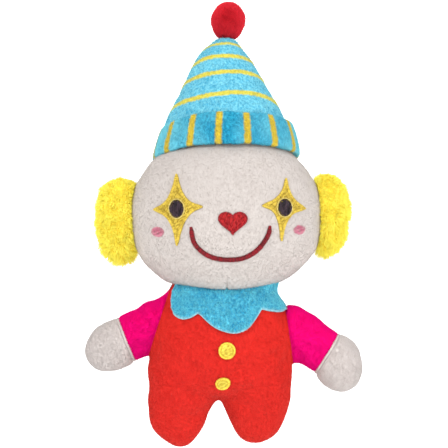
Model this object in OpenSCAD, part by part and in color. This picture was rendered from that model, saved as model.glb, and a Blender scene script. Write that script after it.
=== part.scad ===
// Plush clown hand puppet with a stuffed head, cone hat, hollow body and floppy legs.
// Heights are worked out above the lower foot, and place() then moves the
// whole puppet so that the middle of its hand opening is the origin.
// The puppet faces -Y, and left is the puppet's own left, which is +X.

/* [Head] */
// Width of the head across the cheeks
head_w = 129; // [124:0.5:132]
// Depth of the head from face to nape
head_d = 92; // [88:0.5:95]
// Height of the widest part of the head above the lower foot
head_z = 157; // [156:0.5:158]
// Height of the crown above the widest part
crown_h = 55; // [52:0.5:55]
// Depth of the chin below the widest part
chin_h = 50.5; // [49:0.5:51]

/* [Hat] */
// Half width of the turned-up cuff at its lower edge
hat_r = 49.5; // [49:0.1:51]
// Depth of the hat ring over its width
hat_depth_ratio = 0.79; // [0.77:0.01:0.82]
// Height of the cuff
cuff_h = 21.5; // [18:0.5:22]
// Height of the cone's tip above the cuff's lower edge
hat_h = 80.5; // [76:0.5:86]
// Angle that the hat leans back
hat_lean = 13; // [12:0.5:14]
// Half height of the pompom
pompom_r = 12.3; // [10:0.1:13]

/* [Body] */
// Half width of the body at the hips
hip_r = 48; // [46:0.5:50]
// Half depth of the body at the belly
belly_r = 31; // [29:0.5:33]
// Sideways lean of the body under the neck
body_lean = 4.4; // [3:0.1:5]
// Height of the hand opening at the middle of the back
opening_h = 29; // [24:0.5:30]

/* [Arms and legs] */
// Droop of the left arm below level
left_droop = 30; // [24:1:32]
// Droop of the right arm below level
right_droop = 21; // [16:1:26]
// Half thickness of an arm
arm_r = 14; // [13:0.1:14]
// Half width of a leg at its thickest
leg_r = 18.5; // [17:0.1:19]

/* [Cloth] */
// Thickness of the plush cloth
plush_t = 1.6; // [1.2:0.1:1.8]
// Thickness of the thin lining cloth
lining_t = 0.8; // [0.6:0.1:1]
// Thickness of the embroidery
stitch_t = 0.8; // [0.6:0.1:1]

/* [Hidden] */

// Middle of the hand opening in the working heights
opening_at = [-4, 30, 57];
gap = 0.4;
lining_gap = 1;

// Head and neck
head_x = -1.3;
neck_at = [-1, 0, 105];
neck_ball_r = 14.4;
pocket_r = 12.5;
neck_mouth = 0.375;

// Body: half width, half depth and their heights
body_top_z = 100;
body_low_z = 38;
hem_low_z = 43;
hem_r = 1.5;
armhole_rx = 16.4;
armhole_rz = 17.9;
width_rows = [[36, 0.94], [40, 0.98], [46, 1], [58, 1], [70, 0.98], [80, 0.94],
              [88, 0.89], [94, 0.83], [98, 0.76], [100, 0.7]];
depth_rows = [[36, 0.72], [40, 0.86], [46, 0.95], [56, 1], [70, 1], [80, 0.95],
              [88, 0.86], [94, 0.74], [98, 0.64], [100, 0.58]];

// Arms: side, shoulder, droop, distance to the wrist and to the tip, height of the armhole
left_arm = [1, [44.5, 0, 75.5], left_droop, 27, 51, 74.8];
right_arm = [-1, [-49.5, 0, 80], right_droop, 21, 47, 79.5];

// Legs: side, hip place, drift of the foot, height of the foot above the lower one
left_leg = [1, [20, 0, 34], -0.5, 3.7];
right_leg = [-1, [-32, 0, 34], -2.5, 0];

red = [0.91, 0.18, 0.14];
magenta = [0.93, 0.07, 0.45];
cream = [0.95, 0.92, 0.88];
light_blue = [0.38, 0.77, 0.88];
deep_blue = [0.1, 0.62, 0.82];
yellow = [0.95, 0.88, 0.3];
gold = [0.88, 0.76, 0.24];
ink = [0.18, 0.13, 0.2];
crimson = [0.6, 0.08, 0.14];
pink = [0.86, 0.4, 0.52];
fibre = [0.97, 0.97, 0.95];

// ---- Points and solids ----

function mix(a, b, t) = a + (b - a) * t;
function signed_power(v, e) = sign(v) * pow(abs(v), e);
// True where two points of a triangle fall together, as they do at a pole
function is_flat(t) = norm(t[0] - t[1]) < 1e-6 || norm(t[1] - t[2]) < 1e-6
    || norm(t[2] - t[0]) < 1e-6;
// The two triangles of a four-cornered face, without those that are flat
function halves(p, q) = [for (t = [[q[0], q[1], q[2]], [q[0], q[2], q[3]]])
    if (!is_flat([p[t[0]], p[t[1]], p[t[2]]])) t];
function pole(point, cols) = [for (c = [1:cols]) point];
function middle(ring) = [for (k = [0:2]) [for (p = ring) p[k]] * [for (p = ring) 1 / len(ring)]];

// Cloth between an outer and an inner grid of points. closed joins the first column to the last.
module cloth(outer, inner, closed = true) {
    rows = len(outer);
    cols = len(outer[0]);
    span = closed ? cols : cols - 1;
    under = rows * cols;
    points = concat([for (r = outer) each r], [for (r = inner) each r]);
    skins = [for (r = [0:rows - 2], c = [0:span - 1])
        let (a = r * cols + c, b = r * cols + (c + 1) % cols)
        each [[a, b, b + cols, a + cols],
              [under + a + cols, under + b + cols, under + b, under + a]]];
    rims = [for (r = [0, rows - 1], c = [0:span - 1])
        let (a = r * cols + c, b = r * cols + (c + 1) % cols)
        r == 0 ? [b, a, under + a, under + b] : [a, b, under + b, under + a]];
    sides = closed ? [] : [for (c = [0, cols - 1], r = [0:rows - 2])
        let (a = r * cols + c, b = a + cols)
        c == 0 ? [a, b, under + b, under + a] : [b, a, under + a, under + b]];
    faces = [for (q = concat(skins, rims, sides)) each halves(points, q)];
    polyhedron(points, faces, convexity = 6);
}

// Closed filling through rings of points, capped at both ends
module filling(rings) {
    cols = len(rings[0]);
    grid = concat([pole(middle(rings[0]), cols)], rings, [pole(middle(rings[len(rings) - 1]), cols)]);
    points = [for (r = grid) each r];
    quads = [for (r = [0:len(grid) - 2], c = [0:cols - 1])
        let (a = r * cols + c, b = r * cols + (c + 1) % cols) [a, b, b + cols, a + cols]];
    polyhedron(points, [for (q = quads) each halves(points, q)], convexity = 4);
}

// Round cord that follows a closed path
module loop_cord(path, r, sides = 6) {
    n = len(path);
    rings = [for (i = [0:n - 1])
        let (ahead = path[(i + 1) % n] - path[(i + n - 1) % n],
             along = ahead / norm(ahead),
             out = cross(along, [0, 0, 1]),
             across = out / norm(out),
             up = cross(across, along))
        [for (k = [0:sides - 1]) path[i] + r * (cos(k * 360 / sides) * across
                                                + sin(k * 360 / sides) * up)]];
    points = [for (ring = rings) each ring];
    faces = [for (i = [0:n - 1], k = [0:sides - 1])
        let (a = i * sides + k, b = i * sides + (k + 1) % sides,
             d = ((i + 1) % n) * sides)
        each [[a, d + k, b], [b, d + k, d + (k + 1) % sides]]];
    polyhedron(points, faces, convexity = 6);
}

module place() {
    translate(-opening_at) children();
}

// ---- Head surface ----

// Point on the head, off outside its surface, from its azimuth and elevation
function head_point(az, el, off = 0) =
    let (e = el < 0 ? 0.8 : 1, h = el < 0 ? chin_h : crown_h,
         flat = pow(cos(el), e), up = signed_power(sin(el), e))
    [head_x + (head_w / 2 + off) * flat * cos(az), (head_d / 2 + off) * flat * sin(az),
     head_z + (h + off) * up];
// Elevation at which the head's outline has narrowed to a part of its width
function chin_angle(part) = -acos(pow(part, 1.25));
// Place on the face, off in front of it
function face_point(x, z, off) =
    let (up = z - head_z, e = up < 0 ? 2.5 : 2, h = up < 0 ? chin_h : crown_h,
         level = pow(1 - pow(abs(up) / h, e), 2 / e),
         side = pow((x - head_x) / (head_w / 2), 2))
    [x, -head_d / 2 * sqrt(level - side) - off, z];
function head_rows(azimuths, low, off, steps) =
    [for (i = [0:steps]) [for (az = azimuths) head_point(az, mix(low, 90, i / steps), off)]];

module head_half(from) {
    azimuths = [for (i = [0:16]) from + i * 180 / 16];
    low = chin_angle(neck_mouth);
    cloth(head_rows(azimuths, low, 0, 13), head_rows(azimuths, low, -plush_t, 13), closed = false);
}

module head_front() {
    color(cream) head_half(180);
}

module head_back() {
    color(cream) head_half(0);
}

// Rows of a round pocket about an upright axis, open below and domed on top
function pocket_rows(centre, r, low, high, cols) = concat(
    [for (z = [low, mix(low, high - r, 0.5), high - r]) [for (c = [0:cols - 1])
        [centre[0] + r * cos(c * 360 / cols), centre[1] + r * sin(c * 360 / cols), z]]],
    [for (el = [30, 60, 90]) [for (c = [0:cols - 1])
        [centre[0] + r * cos(el) * cos(c * 360 / cols),
         centre[1] + r * cos(el) * sin(c * 360 / cols), high - r + r * sin(el)]]]);
pocket_low_z = 114;
pocket_top_z = 166;

module head_finger_pocket() {
    color(fibre)
    cloth(pocket_rows(neck_at, pocket_r + lining_t, pocket_low_z, pocket_top_z + lining_t, 20),
          pocket_rows(neck_at, pocket_r, pocket_low_z, pocket_top_z, 20));
}

module head_stuffing() {
    azimuths = [for (i = [0:19]) i * 18];
    low = chin_angle(0.44);
    hole = pocket_rows(neck_at, pocket_r + lining_t + gap, pocket_low_z,
                       pocket_top_z + lining_t + gap, 20);
    color(fibre)
    cloth(head_rows(azimuths, low, -plush_t - gap, 9),
          [for (i = [0:9]) hole[min(i, len(hole) - 1)]]);
}

// ---- Embroidery ----

// Stitched patch that lies on the head or chest, filled from its centre to its outline
module stitched(onto, centre, outline, base) {
    rings = [for (s = [0, 0.35, 0.7, 1]) [for (p = outline) mix(centre, p, s)]];
    cloth([for (ring = rings) [for (p = ring) onto(p[0], p[1], base + stitch_t)]],
          [for (ring = rings) [for (p = ring) onto(p[0], p[1], base)]]);
}

// Outlines in the face's x and z, anticlockwise as seen from the front
function oval(centre, rx, rz, turn = 0, n = 20) = [for (i = [0:n - 1])
    let (a = i * 360 / n, u = rx * cos(a), v = rz * sin(a))
    centre + [u * cos(turn) - v * sin(turn), u * sin(turn) + v * cos(turn)]];
// Four-pointed star with hollow sides
function star(centre, rx, rz, n = 24) = [for (i = [0:n - 1])
    let (a = i * 360 / n)
    centre + [rx * signed_power(cos(a), 2.7), rz * signed_power(sin(a), 2.7)]];

face = function (x, z, off) face_point(x, z, off);

module eye_star(centre, rx, rz) {
    color(gold) stitched(face, centre, star(centre, rx, rz), seat);
}

module pupil(centre) {
    color(ink) stitched(face, centre, oval(centre, 4.8, 5.8), 2 * seat + stitch_t);
}

// Clearance under the embroidery, and the places of its pieces in the face's x and z
seat = 0.25;
left_eye = [37.1, 160.4];
right_eye = [-33.7, 159.7];
nose_at = [3, 149.5];
mouth_at = [1.75, 125];
left_cheek = [47.2, 145.6];
right_cheek = [-46.8, 144.2];

module eye_star_left() {
    eye_star(left_eye, 14.5, 21.8);
}

module eye_star_right() {
    eye_star(right_eye, 15.8, 23);
}

module pupil_left() {
    pupil(left_eye);
}

module pupil_right() {
    pupil(right_eye);
}

module nose_heart() {
    half_w = 10.2;
    unit_z = 0.62;
    // The usual heart curve
    lobes = [for (i = [0:27])
        let (a = (i + 0.5) * 360 / 28)
        nose_at + [-half_w * pow(sin(a), 3),
                   unit_z * (13 * cos(a) - 5 * cos(2 * a) - 2 * cos(3 * a) - cos(4 * a))]];
    color(crimson) stitched(face, nose_at, lobes, seat);
}

module mouth_smile() {
    // A U whose flanks steepen to its ends
    steps = 22;
    half_w = 26.2;
    rise = 23.2;
    line = [for (i = [0:steps]) let (t = 2 * i / steps - 1)
        mouth_at + [half_w * signed_power(sin(90 * t), 0.9), rise * (1 - cos(90 * t))]];
    across = [for (i = [0:steps])
        let (d = line[min(i + 1, steps)] - line[max(i - 1, 0)]) [-d[1], d[0]] / norm(d)];
    half = 1.5;
    strip = function (off) [for (s = [half, 0, -half]) [for (i = [0:steps])
        face_point(line[i][0] + s * across[i][0], line[i][1] + s * across[i][1], off)]];
    color(crimson) cloth(strip(seat + stitch_t), strip(seat), closed = false);
}

module cheek(centre) {
    color(pink) stitched(face, centre, oval(centre, 4, 3, 0, 14), seat);
}

module cheek_left() {
    cheek(left_cheek);
}

module cheek_right() {
    cheek(right_cheek);
}

// ---- Hat and hair ----

hat_at = [-2, 6.5, 195];
cuff_t = 2.2;
tip_drift = 2;
// Half width of the cone at its height
cone_rows = [[12, 43], [22, 40.2], [29, 37.2], [49, 27], [66, 18.2], [76, 11.5], [79.5, 7.5], [80.5, 0]];

// Ring of points round the hat's leaning axis
function hat_ring(w, rx, cols) =
    let (ry = rx * mix(hat_depth_ratio, 1, w / hat_h))
    [for (c = [0:cols - 1])
        let (u = rx * cos(c * 360 / cols), v = ry * sin(c * 360 / cols))
        hat_at + [u + tip_drift * w / hat_h,
                  v * cos(hat_lean) + w * sin(hat_lean),
                  w * cos(hat_lean) - v * sin(hat_lean)]];
cone_rows_h = 80.5;
function cone_r(w) = lookup(w * cone_rows_h / hat_h, cone_rows);

module hat_cone() {
    levels = [for (w = [12, 22, 32, 42, 52, 62, 70, 76, 79.5, 80.5]) w * hat_h / cone_rows_h];
    color(light_blue)
    cloth([for (w = levels) hat_ring(w, cone_r(w), 24)],
          [for (w = levels) hat_ring(w - (cone_r(w) < 8 ? plush_t : 0),
                                     max(0, cone_r(w) - plush_t), 24)]);
}

module hat_cuff() {
    levels = [0, cuff_h / 3, cuff_h * 2 / 3, cuff_h];
    outer = function (w) hat_r - 4.3 * w / cuff_h;
    color(deep_blue)
    cloth([for (w = levels) hat_ring(w, outer(w), 28)],
          [for (w = levels) hat_ring(w, outer(w) - cuff_t, 28)]);
}

module hat_stuffing() {
    levels = [for (w = [21, 35, 50, 63, 73, 77]) w * hat_h / cone_rows_h];
    color(fibre) filling([for (w = levels) hat_ring(w, cone_r(w) - plush_t - 2 * gap, 20)]);
}

module pompom() {
    lift = hat_h + 2.1 + pompom_r;
    centre = hat_at + [tip_drift, lift * sin(hat_lean), lift * cos(hat_lean)];
    color(red)
    filling([for (el = [-70:20:70]) [for (c = [0:17])
        centre + [0.93 * pompom_r * cos(el) * cos(c * 20),
                  0.93 * pompom_r * cos(el) * sin(c * 20), pompom_r * sin(el)]]]);
}

// Long-pile puff with a flat face against the head's side
module hair_puff(side, face_x, tip_x, centre_z) {
    length_x = abs(tip_x - face_x);
    color(yellow)
    filling([for (t = [0, 0.2, 0.45, 0.7, 0.88, 0.97])
        let (s = sqrt(1 - pow(max(0, t - 0.15) / 0.87, 2)) * (t == 0 ? 0.86 : 1))
        [for (c = [0:17])
            [face_x + side * length_x * t, 4 + 19 * s * cos(side * c * 20),
             centre_z + 30.5 * s * sin(side * c * 20)]]]);
}

module hair_left() {
    hair_puff(1, 65.7, 83.6, 156.5);
}

module hair_right() {
    hair_puff(-1, -68.3, -90, 151);
}

// ---- Body surface ----

function body_x(z) = neck_at[0] - (neck_at[2] - z) * tan(body_lean);
function body_point(az, z, off = 0) =
    [body_x(z) + (hip_r * lookup(z, width_rows) + off) * cos(az),
     (belly_r * lookup(z, depth_rows) + off) * sin(az), z];
// Place on the chest, off in front of it
chest = function (x, z, off)
    let (side = pow((x - body_x(z)) / (hip_r * lookup(z, width_rows)), 2))
    [x, -belly_r * lookup(z, depth_rows) * sqrt(1 - side) - off, z];
// Angle from the side seam to the edge of an armhole at a height
function armhole_angle(arm, z) =
    let (away = 1 - pow((z - arm[5]) / armhole_rz, 2))
    away <= 0 ? 0 : asin(armhole_rx * sqrt(away) / (belly_r * lookup(z, depth_rows)));
// Upper edge of the hand opening at an azimuth of the back
function hem_z(az) = hem_low_z + opening_h * pow(max(0, sin(az)), 0.8);

// Front panel grid: azimuth from the right side seam to the left one
function front_rows(low, high, off) = [for (i = [0:15])
    let (z = mix(low, high, i / 15),
         a = 180 + armhole_angle(right_arm, z), b = 360 - armhole_angle(left_arm, z))
    [for (c = [0:14]) body_point(mix(a, b, c / 14), z, off)]];
// Azimuth of a column of the back panel, from the left side seam to the right one
function back_angle(c, z) =
    mix(armhole_angle(left_arm, z), 180 - armhole_angle(right_arm, z), c / 14);
// Height at which a column clears the hem, found in a few turns because the armholes move it
function clear_z(c, z, clear, turns) = turns == 0 ? z :
    let (az = back_angle(c, z), steep = 1 + 0.9 * pow(cos(az), 2))
    clear_z(c, hem_z(az) + clear * steep, clear, turns - 1);
// Back panel grid, whose lower edge follows the hand opening
function back_rows(clear, high, off) = [for (i = [0:15]) [for (c = [0:14])
    let (z = mix(clear_z(c, hem_low_z, clear, 6), high, i / 15))
    body_point(back_angle(c, z), z, off)]];

module body_front() {
    color(red)
    cloth(front_rows(body_low_z, body_top_z, 0),
          front_rows(body_low_z, body_top_z, -plush_t), closed = false);
}

module body_back() {
    color(red)
    cloth(back_rows(hem_r + gap, body_top_z, 0),
          back_rows(hem_r + gap, body_top_z, -plush_t), closed = false);
}

module lining_front() {
    deep = -plush_t - lining_gap;
    color(cream)
    cloth(front_rows(body_low_z + 2, body_top_z - 3, deep),
          front_rows(body_low_z + 2, body_top_z - 3, deep - lining_t), closed = false);
}

module lining_back() {
    deep = -plush_t - lining_gap;
    color(cream)
    cloth(back_rows(hem_r + gap, body_top_z, deep),
          back_rows(hem_r + gap, body_top_z, deep - lining_t), closed = false);
}

// Base that the legs hang from, dished so that they have room to swing
module body_base() {
    low = 36.3;
    steps = [1, 0.75, 0.4, 0];
    dish = function (s, off)
        [for (c = [0:23]) let (p = body_point(c * 15, body_low_z, -plush_t - gap))
            [mix(body_x(body_low_z), p[0], s), p[1] * s,
             mix(low, body_low_z + gap, s * s) + off]];
    color(red)
    cloth([for (s = steps) dish(s, plush_t)], [for (s = steps) dish(s, 0)]);
}

module body_seat() {
    rows = function (off) [for (z = [body_low_z, hem_low_z - hem_r - gap])
        [for (c = [0:14]) body_point(c * 180 / 14, z, off)]];
    color(red) cloth(rows(0), rows(-plush_t), closed = false);
}

module opening_hem() {
    arch = [for (i = [1:17]) body_point(i * 10, hem_z(i * 10), -plush_t / 2)];
    sill = [for (i = [17:-1:1]) body_point(i * 10, hem_low_z, -plush_t / 2)];
    color(red) loop_cord(concat(arch, sill), hem_r);
}

module button_upper() {
    centre = [-0.7, 65.4];
    color(yellow) stitched(chest, centre, oval(centre, 5.5, 5.5), seat);
}

module button_lower() {
    centre = [-3.4, 43.8];
    color(yellow) stitched(chest, centre, oval(centre, 5, 3.8, 12), seat);
}

// Scalloped collar that lies over the shoulders
module collar() {
    cols = 48;
    edge = function (az) 98.5 - 15.5 * sin(az) * sin(az) - 4.2 * abs(cos(az * 4));
    ring = function (t, off) [for (c = [0:cols - 1])
        let (az = c * 360 / cols, z = mix(body_top_z + 0.4, edge(az), t))
        body_point(az, min(z, body_top_z), 1 + 1.4 * t + off) + [0, 0, max(0, z - body_top_z)]];
    color(light_blue)
    cloth([for (t = [1, 0.66, 0.33, 0]) ring(t, 1.2)], [for (t = [1, 0.66, 0.33, 0]) ring(t, 0)]);
}

// Zone of a ball about the neck's or a shoulder's centre, from one angle off its axis to another
module seam_zone(centre, along, r, t, from, to) {
    side = [0, 1, 0];
    up = cross(along, side);
    ring = function (a, rr) [for (c = [0:15])
        centre + rr * (cos(a) * along + sin(a) * (cos(c * 22.5) * side + sin(c * 22.5) * up))];
    angles = [for (k = [0:3]) mix(from, to, k / 3)];
    cloth([for (a = angles) ring(a, r)], [for (a = angles) ring(a, r - t)]);
}

module neck_band() {
    color(cream) seam_zone(neck_at, [0, 0, -1], neck_ball_r, lining_t, 68, 108);
}

module neck_tube() {
    color(cream) seam_zone(neck_at, [0, 0, -1], neck_ball_r - lining_t - gap, lining_t, 62, 114);
}

// ---- Arms ----

// Point at a distance along an arm, at an angle round it and a radius off its axis
function arm_point(arm, s, a, r, flat = 1) =
    let (side = arm[0], droop = arm[2],
         along = [side * cos(droop), 0, -sin(droop)],
         up = [side * sin(droop), 0, cos(droop)])
    arm[1] + s * along + r * (cos(a) * up + side * flat * sin(a) * [0, 1, 0]);
function arm_ring(arm, s, r, cols = 16, flat = 1) =
    [for (c = [0:cols - 1]) arm_point(arm, s, c * 360 / cols, r, flat)];

module sleeve(arm) {
    wrist = arm[3] - 1;
    // A ball end about the shoulder, then a straight tube
    rows = function (r) concat(
        [for (a = [-48, -32, -16, 0]) arm_ring(arm, r * sin(a), r * cos(a))],
        [for (s = [0.5, 1]) arm_ring(arm, s * wrist, r)]);
    color(magenta) cloth(rows(arm_r), rows(arm_r - plush_t));
}

module shoulder_seam(arm) {
    color(magenta)
    seam_zone(arm[1], [-arm[0], 0, 0], arm_r - plush_t - gap, lining_t, 50, 84);
}

module wrist_piping(arm) {
    path = arm_ring(arm, arm[3], arm_r - 0.4, 20);
    bead = 0.8;
    outer = [for (k = [0:5]) [bead * sin(k * 60), bead * cos(k * 60)]];
    points = [for (p = outer) arm_ring(arm, arm[3] + p[0], arm_r - 0.4 + p[1], 20)];
    color(cream) cloth([for (k = [0, 1, 2, 3]) points[k]], [for (k = [0, 5, 4, 3]) points[k]]);
}

// Radius of the mitt along its length, from the wrist to the tip
mitt_rows = [[0, 14], [0.2, 15.4], [0.45, 16], [0.65, 15], [0.8, 12.4], [0.93, 7.6], [1, 0]];

module hand(arm) {
    length_s = arm[4] - arm[3] - 1;
    ring = function (t, off) arm_ring(arm, arm[3] + 1 + t * length_s - (t > 0.9 ? off : 0),
                                      max(0, lookup(t, mitt_rows) - off), 16, 0.92);
    levels = [0, 0.2, 0.45, 0.65, 0.8, 0.93, 1];
    color(cream) cloth([for (t = levels) ring(t, 0)], [for (t = levels) ring(t, plush_t)]);
}

module hand_stuffing(arm) {
    length_s = arm[4] - arm[3] - 1;
    color(fibre)
    filling([for (t = [0.28, 0.45, 0.65, 0.78])
        arm_ring(arm, arm[3] + 1 + t * length_s, lookup(t, mitt_rows) - plush_t - 3 * gap, 14, 0.9)]);
}

module finger_pocket(arm) {
    r = arm_r - plush_t - gap;
    start = 6;
    end = arm[3] + 4;
    rows = function (off) concat(
        [for (s = [start, (start + end) / 2, end - 6]) arm_ring(arm, s, r - off, 14)],
        [for (el = [35, 65, 90]) arm_ring(arm, end - 6 + (6 - off) * sin(el),
                                          (r - off) * cos(el), 14)]);
    color(fibre) cloth(rows(0), rows(lining_t));
}

// ---- Legs ----

// Leg outline below the hip: distance down over the leg's height, half width, half depth
leg_rows = [[0.02, 0.8, 1.8], [0.15, 0.97, 4], [0.3, 1, 8], [0.47, 0.95, 12.3],
            [0.65, 0.87, 14.5], [0.8, 0.74, 13.4], [0.92, 0.5, 9.4], [0.985, 0.22, 4.4], [1, 0, 0]];

function leg_ring(leg, row, off, cols) =
    let (drop = leg[1][2] - leg[3], lift = row[0] > 0.9 ? off : 0)
    [for (c = [0:cols - 1])
        [leg[1][0] + leg[2] * row[0] + max(0, leg_r * row[1] - off) * cos(c * 360 / cols),
         max(0, row[2] - off) * sin(c * 360 / cols), leg[1][2] - drop * row[0] + lift]];

module leg(leg) {
    color(red)
    cloth([for (row = [8:-1:0]) leg_ring(leg, leg_rows[row], 0, 18)],
          [for (row = [8:-1:0]) leg_ring(leg, leg_rows[row], min(1.4, leg_rows[row][2] * 0.5), 18)]);
}

module leg_stuffing(leg) {
    color(fibre)
    filling([for (row = [7:-1:2]) leg_ring(leg, leg_rows[row], 2.2, 16)]);
}

place() {
    head_front();
    head_back();
    head_stuffing();
    head_finger_pocket();
    hat_cone();
    hat_cuff();
    hat_stuffing();
    pompom();
    hair_left();
    hair_right();
    eye_star_left();
    eye_star_right();
    pupil_left();
    pupil_right();
    nose_heart();
    mouth_smile();
    cheek_left();
    cheek_right();
    collar();
    neck_band();
    neck_tube();
    body_front();
    body_back();
    body_base();
    body_seat();
    lining_front();
    lining_back();
    opening_hem();
    button_upper();
    button_lower();
    shoulder_seam(left_arm);  // shoulder_seam_left
    shoulder_seam(right_arm);  // shoulder_seam_right
    sleeve(left_arm);  // sleeve_left
    sleeve(right_arm);  // sleeve_right
    wrist_piping(left_arm);  // wrist_piping_left
    wrist_piping(right_arm);  // wrist_piping_right
    hand(left_arm);  // hand_left
    hand(right_arm);  // hand_right
    hand_stuffing(left_arm);  // hand_stuffing_left
    hand_stuffing(right_arm);  // hand_stuffing_right
    finger_pocket(left_arm);  // finger_pocket_left
    finger_pocket(right_arm);  // finger_pocket_right
    leg(left_leg);  // leg_left
    leg(right_leg);  // leg_right
    leg_stuffing(left_leg);  // leg_stuffing_left
    leg_stuffing(right_leg);  // leg_stuffing_right
}
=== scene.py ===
"""Looks of the plush clown hand puppet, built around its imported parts.

Shapes are worked out in working millimetres: x to the puppet's own left from its
middle line, y back from the head's side seams, z up from the lower foot.
"""

import math

import bmesh
import bpy
import numpy as np
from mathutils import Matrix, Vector
from mathutils.bvhtree import BVHTree


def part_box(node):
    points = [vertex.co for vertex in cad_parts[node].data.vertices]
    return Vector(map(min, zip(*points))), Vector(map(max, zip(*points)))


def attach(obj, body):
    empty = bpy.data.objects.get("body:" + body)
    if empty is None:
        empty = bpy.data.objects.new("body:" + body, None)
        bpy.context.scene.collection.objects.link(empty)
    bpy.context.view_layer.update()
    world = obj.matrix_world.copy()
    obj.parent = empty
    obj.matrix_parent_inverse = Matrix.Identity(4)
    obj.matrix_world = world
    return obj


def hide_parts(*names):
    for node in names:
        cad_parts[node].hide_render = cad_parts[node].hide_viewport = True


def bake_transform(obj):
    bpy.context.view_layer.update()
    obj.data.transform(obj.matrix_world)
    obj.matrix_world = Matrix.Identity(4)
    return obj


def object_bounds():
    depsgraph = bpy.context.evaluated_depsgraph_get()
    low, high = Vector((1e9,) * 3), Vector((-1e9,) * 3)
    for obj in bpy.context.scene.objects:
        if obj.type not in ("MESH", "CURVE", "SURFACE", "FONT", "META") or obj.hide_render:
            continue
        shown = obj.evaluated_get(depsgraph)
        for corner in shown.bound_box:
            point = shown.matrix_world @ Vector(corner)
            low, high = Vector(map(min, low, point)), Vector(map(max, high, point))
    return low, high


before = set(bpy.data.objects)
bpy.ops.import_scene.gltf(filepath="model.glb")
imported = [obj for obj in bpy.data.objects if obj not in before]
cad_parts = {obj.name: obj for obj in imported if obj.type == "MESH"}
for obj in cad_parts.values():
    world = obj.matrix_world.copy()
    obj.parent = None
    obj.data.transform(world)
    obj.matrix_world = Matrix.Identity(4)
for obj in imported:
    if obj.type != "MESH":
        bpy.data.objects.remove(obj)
cad_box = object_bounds()

MM = 0.001
CLOTH = 1.6  # thickness of the plush cloth
HEAD_X, HEAD_Z = -1.3, 157.0  # middle of the head
HEAD_W, HEAD_D = 64.5, 46.0  # half width and half depth of the head
CROWN, CHIN = 55.0, 50.5  # from the head's middle up to its crown and down to its chin
head_low, head_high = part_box("head_front")
ORIGIN = np.array([(head_low.x + head_high.x) / 2 - HEAD_X * MM, head_high.y, cad_box[0][2]])


# ---- Small tools ----


def to_frame(points):
    """Working millimetres to the shared frame's metres."""
    return ORIGIN + np.asarray(points, float) * MM


def here(x, y, z):
    return Vector(to_frame((x, y, z)))


def unit(v):
    v = np.asarray(v, float)
    return v / np.maximum(np.linalg.norm(v, axis=-1, keepdims=True), 1e-9)


def table(rows, at):
    """Smooth values through rows of (place, value, ...) at the given places."""
    rows = np.array(rows, float)
    rows = rows[np.argsort(rows[:, 0])]
    at = np.asarray(at, float)
    slopes = np.gradient(rows[:, 1:], rows[:, 0], axis=0)
    i = np.clip(np.searchsorted(rows[:, 0], at) - 1, 0, len(rows) - 2)
    step = rows[i + 1, 0] - rows[i, 0]
    t = np.clip((at - rows[i, 0]) / step, 0, 1)[..., None]
    step = step[..., None]
    a, b = rows[i, 1:], rows[i + 1, 1:]
    out = ((1 + 2 * t) * (1 - t) ** 2 * a + t * (1 - t) ** 2 * step * slopes[i]
           + t * t * (3 - 2 * t) * b + t * t * (t - 1) * step * slopes[i + 1])
    return out[..., 0] if out.shape[-1] == 1 else out


def through(points, count):
    """A smooth curve of a number of points through the given ones."""
    rows = np.column_stack([np.arange(len(points)), points])
    return table(rows, np.linspace(0, len(points) - 1, count))


def waves(points, size, seed):
    """Smooth noise from -1 to 1, with lumps about the given size in millimetres."""
    rng = np.random.default_rng(seed)
    count = 14
    turns = unit(rng.normal(size=(count, 3))) * rng.uniform(0.6, 1.5, (count, 1))
    phase = rng.uniform(0, 2 * math.pi, count)
    return np.sin(np.asarray(points) @ (turns.T * math.pi / size) + phase).sum(1) / count**0.5 / 1.4


def run_of(path):
    """Distance along a path at each of its points."""
    return np.r_[0, np.cumsum(np.linalg.norm(np.diff(path, axis=0), axis=1))]


def spaced(path, step, closed=True):
    """Points spaced evenly round a closed outline, or along an open path."""
    if closed:
        path = np.vstack([path, path[:1]])
    run = run_of(path)
    count = max(8 if closed else 4, int(run[-1] / step))
    at = np.linspace(0, run[-1], count, endpoint=not closed)
    return np.stack([np.interp(at, run, path[:, k]) for k in range(path.shape[1])], 1)


def evened(values, times=1, axis=0):
    """Values round a closed line, each drawn towards its two neighbours."""
    for _ in range(times):
        values = (np.roll(values, 1, axis=axis) + 2 * values + np.roll(values, -1, axis=axis)) / 4
    return values


def inside(xz, outline):
    """True for each point that lies in a closed outline."""
    x, z = xz[:, 0], xz[:, 1]
    result = np.zeros(len(xz), bool)
    for (ax, az), (bx, bz) in zip(outline, np.roll(outline, -1, axis=0)):
        if az == bz:
            continue
        result ^= ((az > z) != (bz > z)) & (x < (bx - ax) * (z - az) / (bz - az) + ax)
    return result


def scaled(outline, share):
    """An outline drawn in towards its middle, or out from it."""
    centre = outline.mean(0)
    return centre + share * (outline - centre)


def signed_area(outline):
    x, z = outline[:, 0], outline[:, 1]
    return (x * np.roll(z, -1) - z * np.roll(x, -1)).sum() / 2


def grown(outline, by):
    """An outline moved outwards in its own plane."""
    ahead = np.roll(outline, -1, axis=0) - np.roll(outline, 1, axis=0)
    out = unit(np.stack([ahead[:, 1], -ahead[:, 0]], 1))
    return outline + (-by if signed_area(outline) < 0 else by) * out


# ---- Skins: points, faces and the values marked on the points ----


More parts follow.
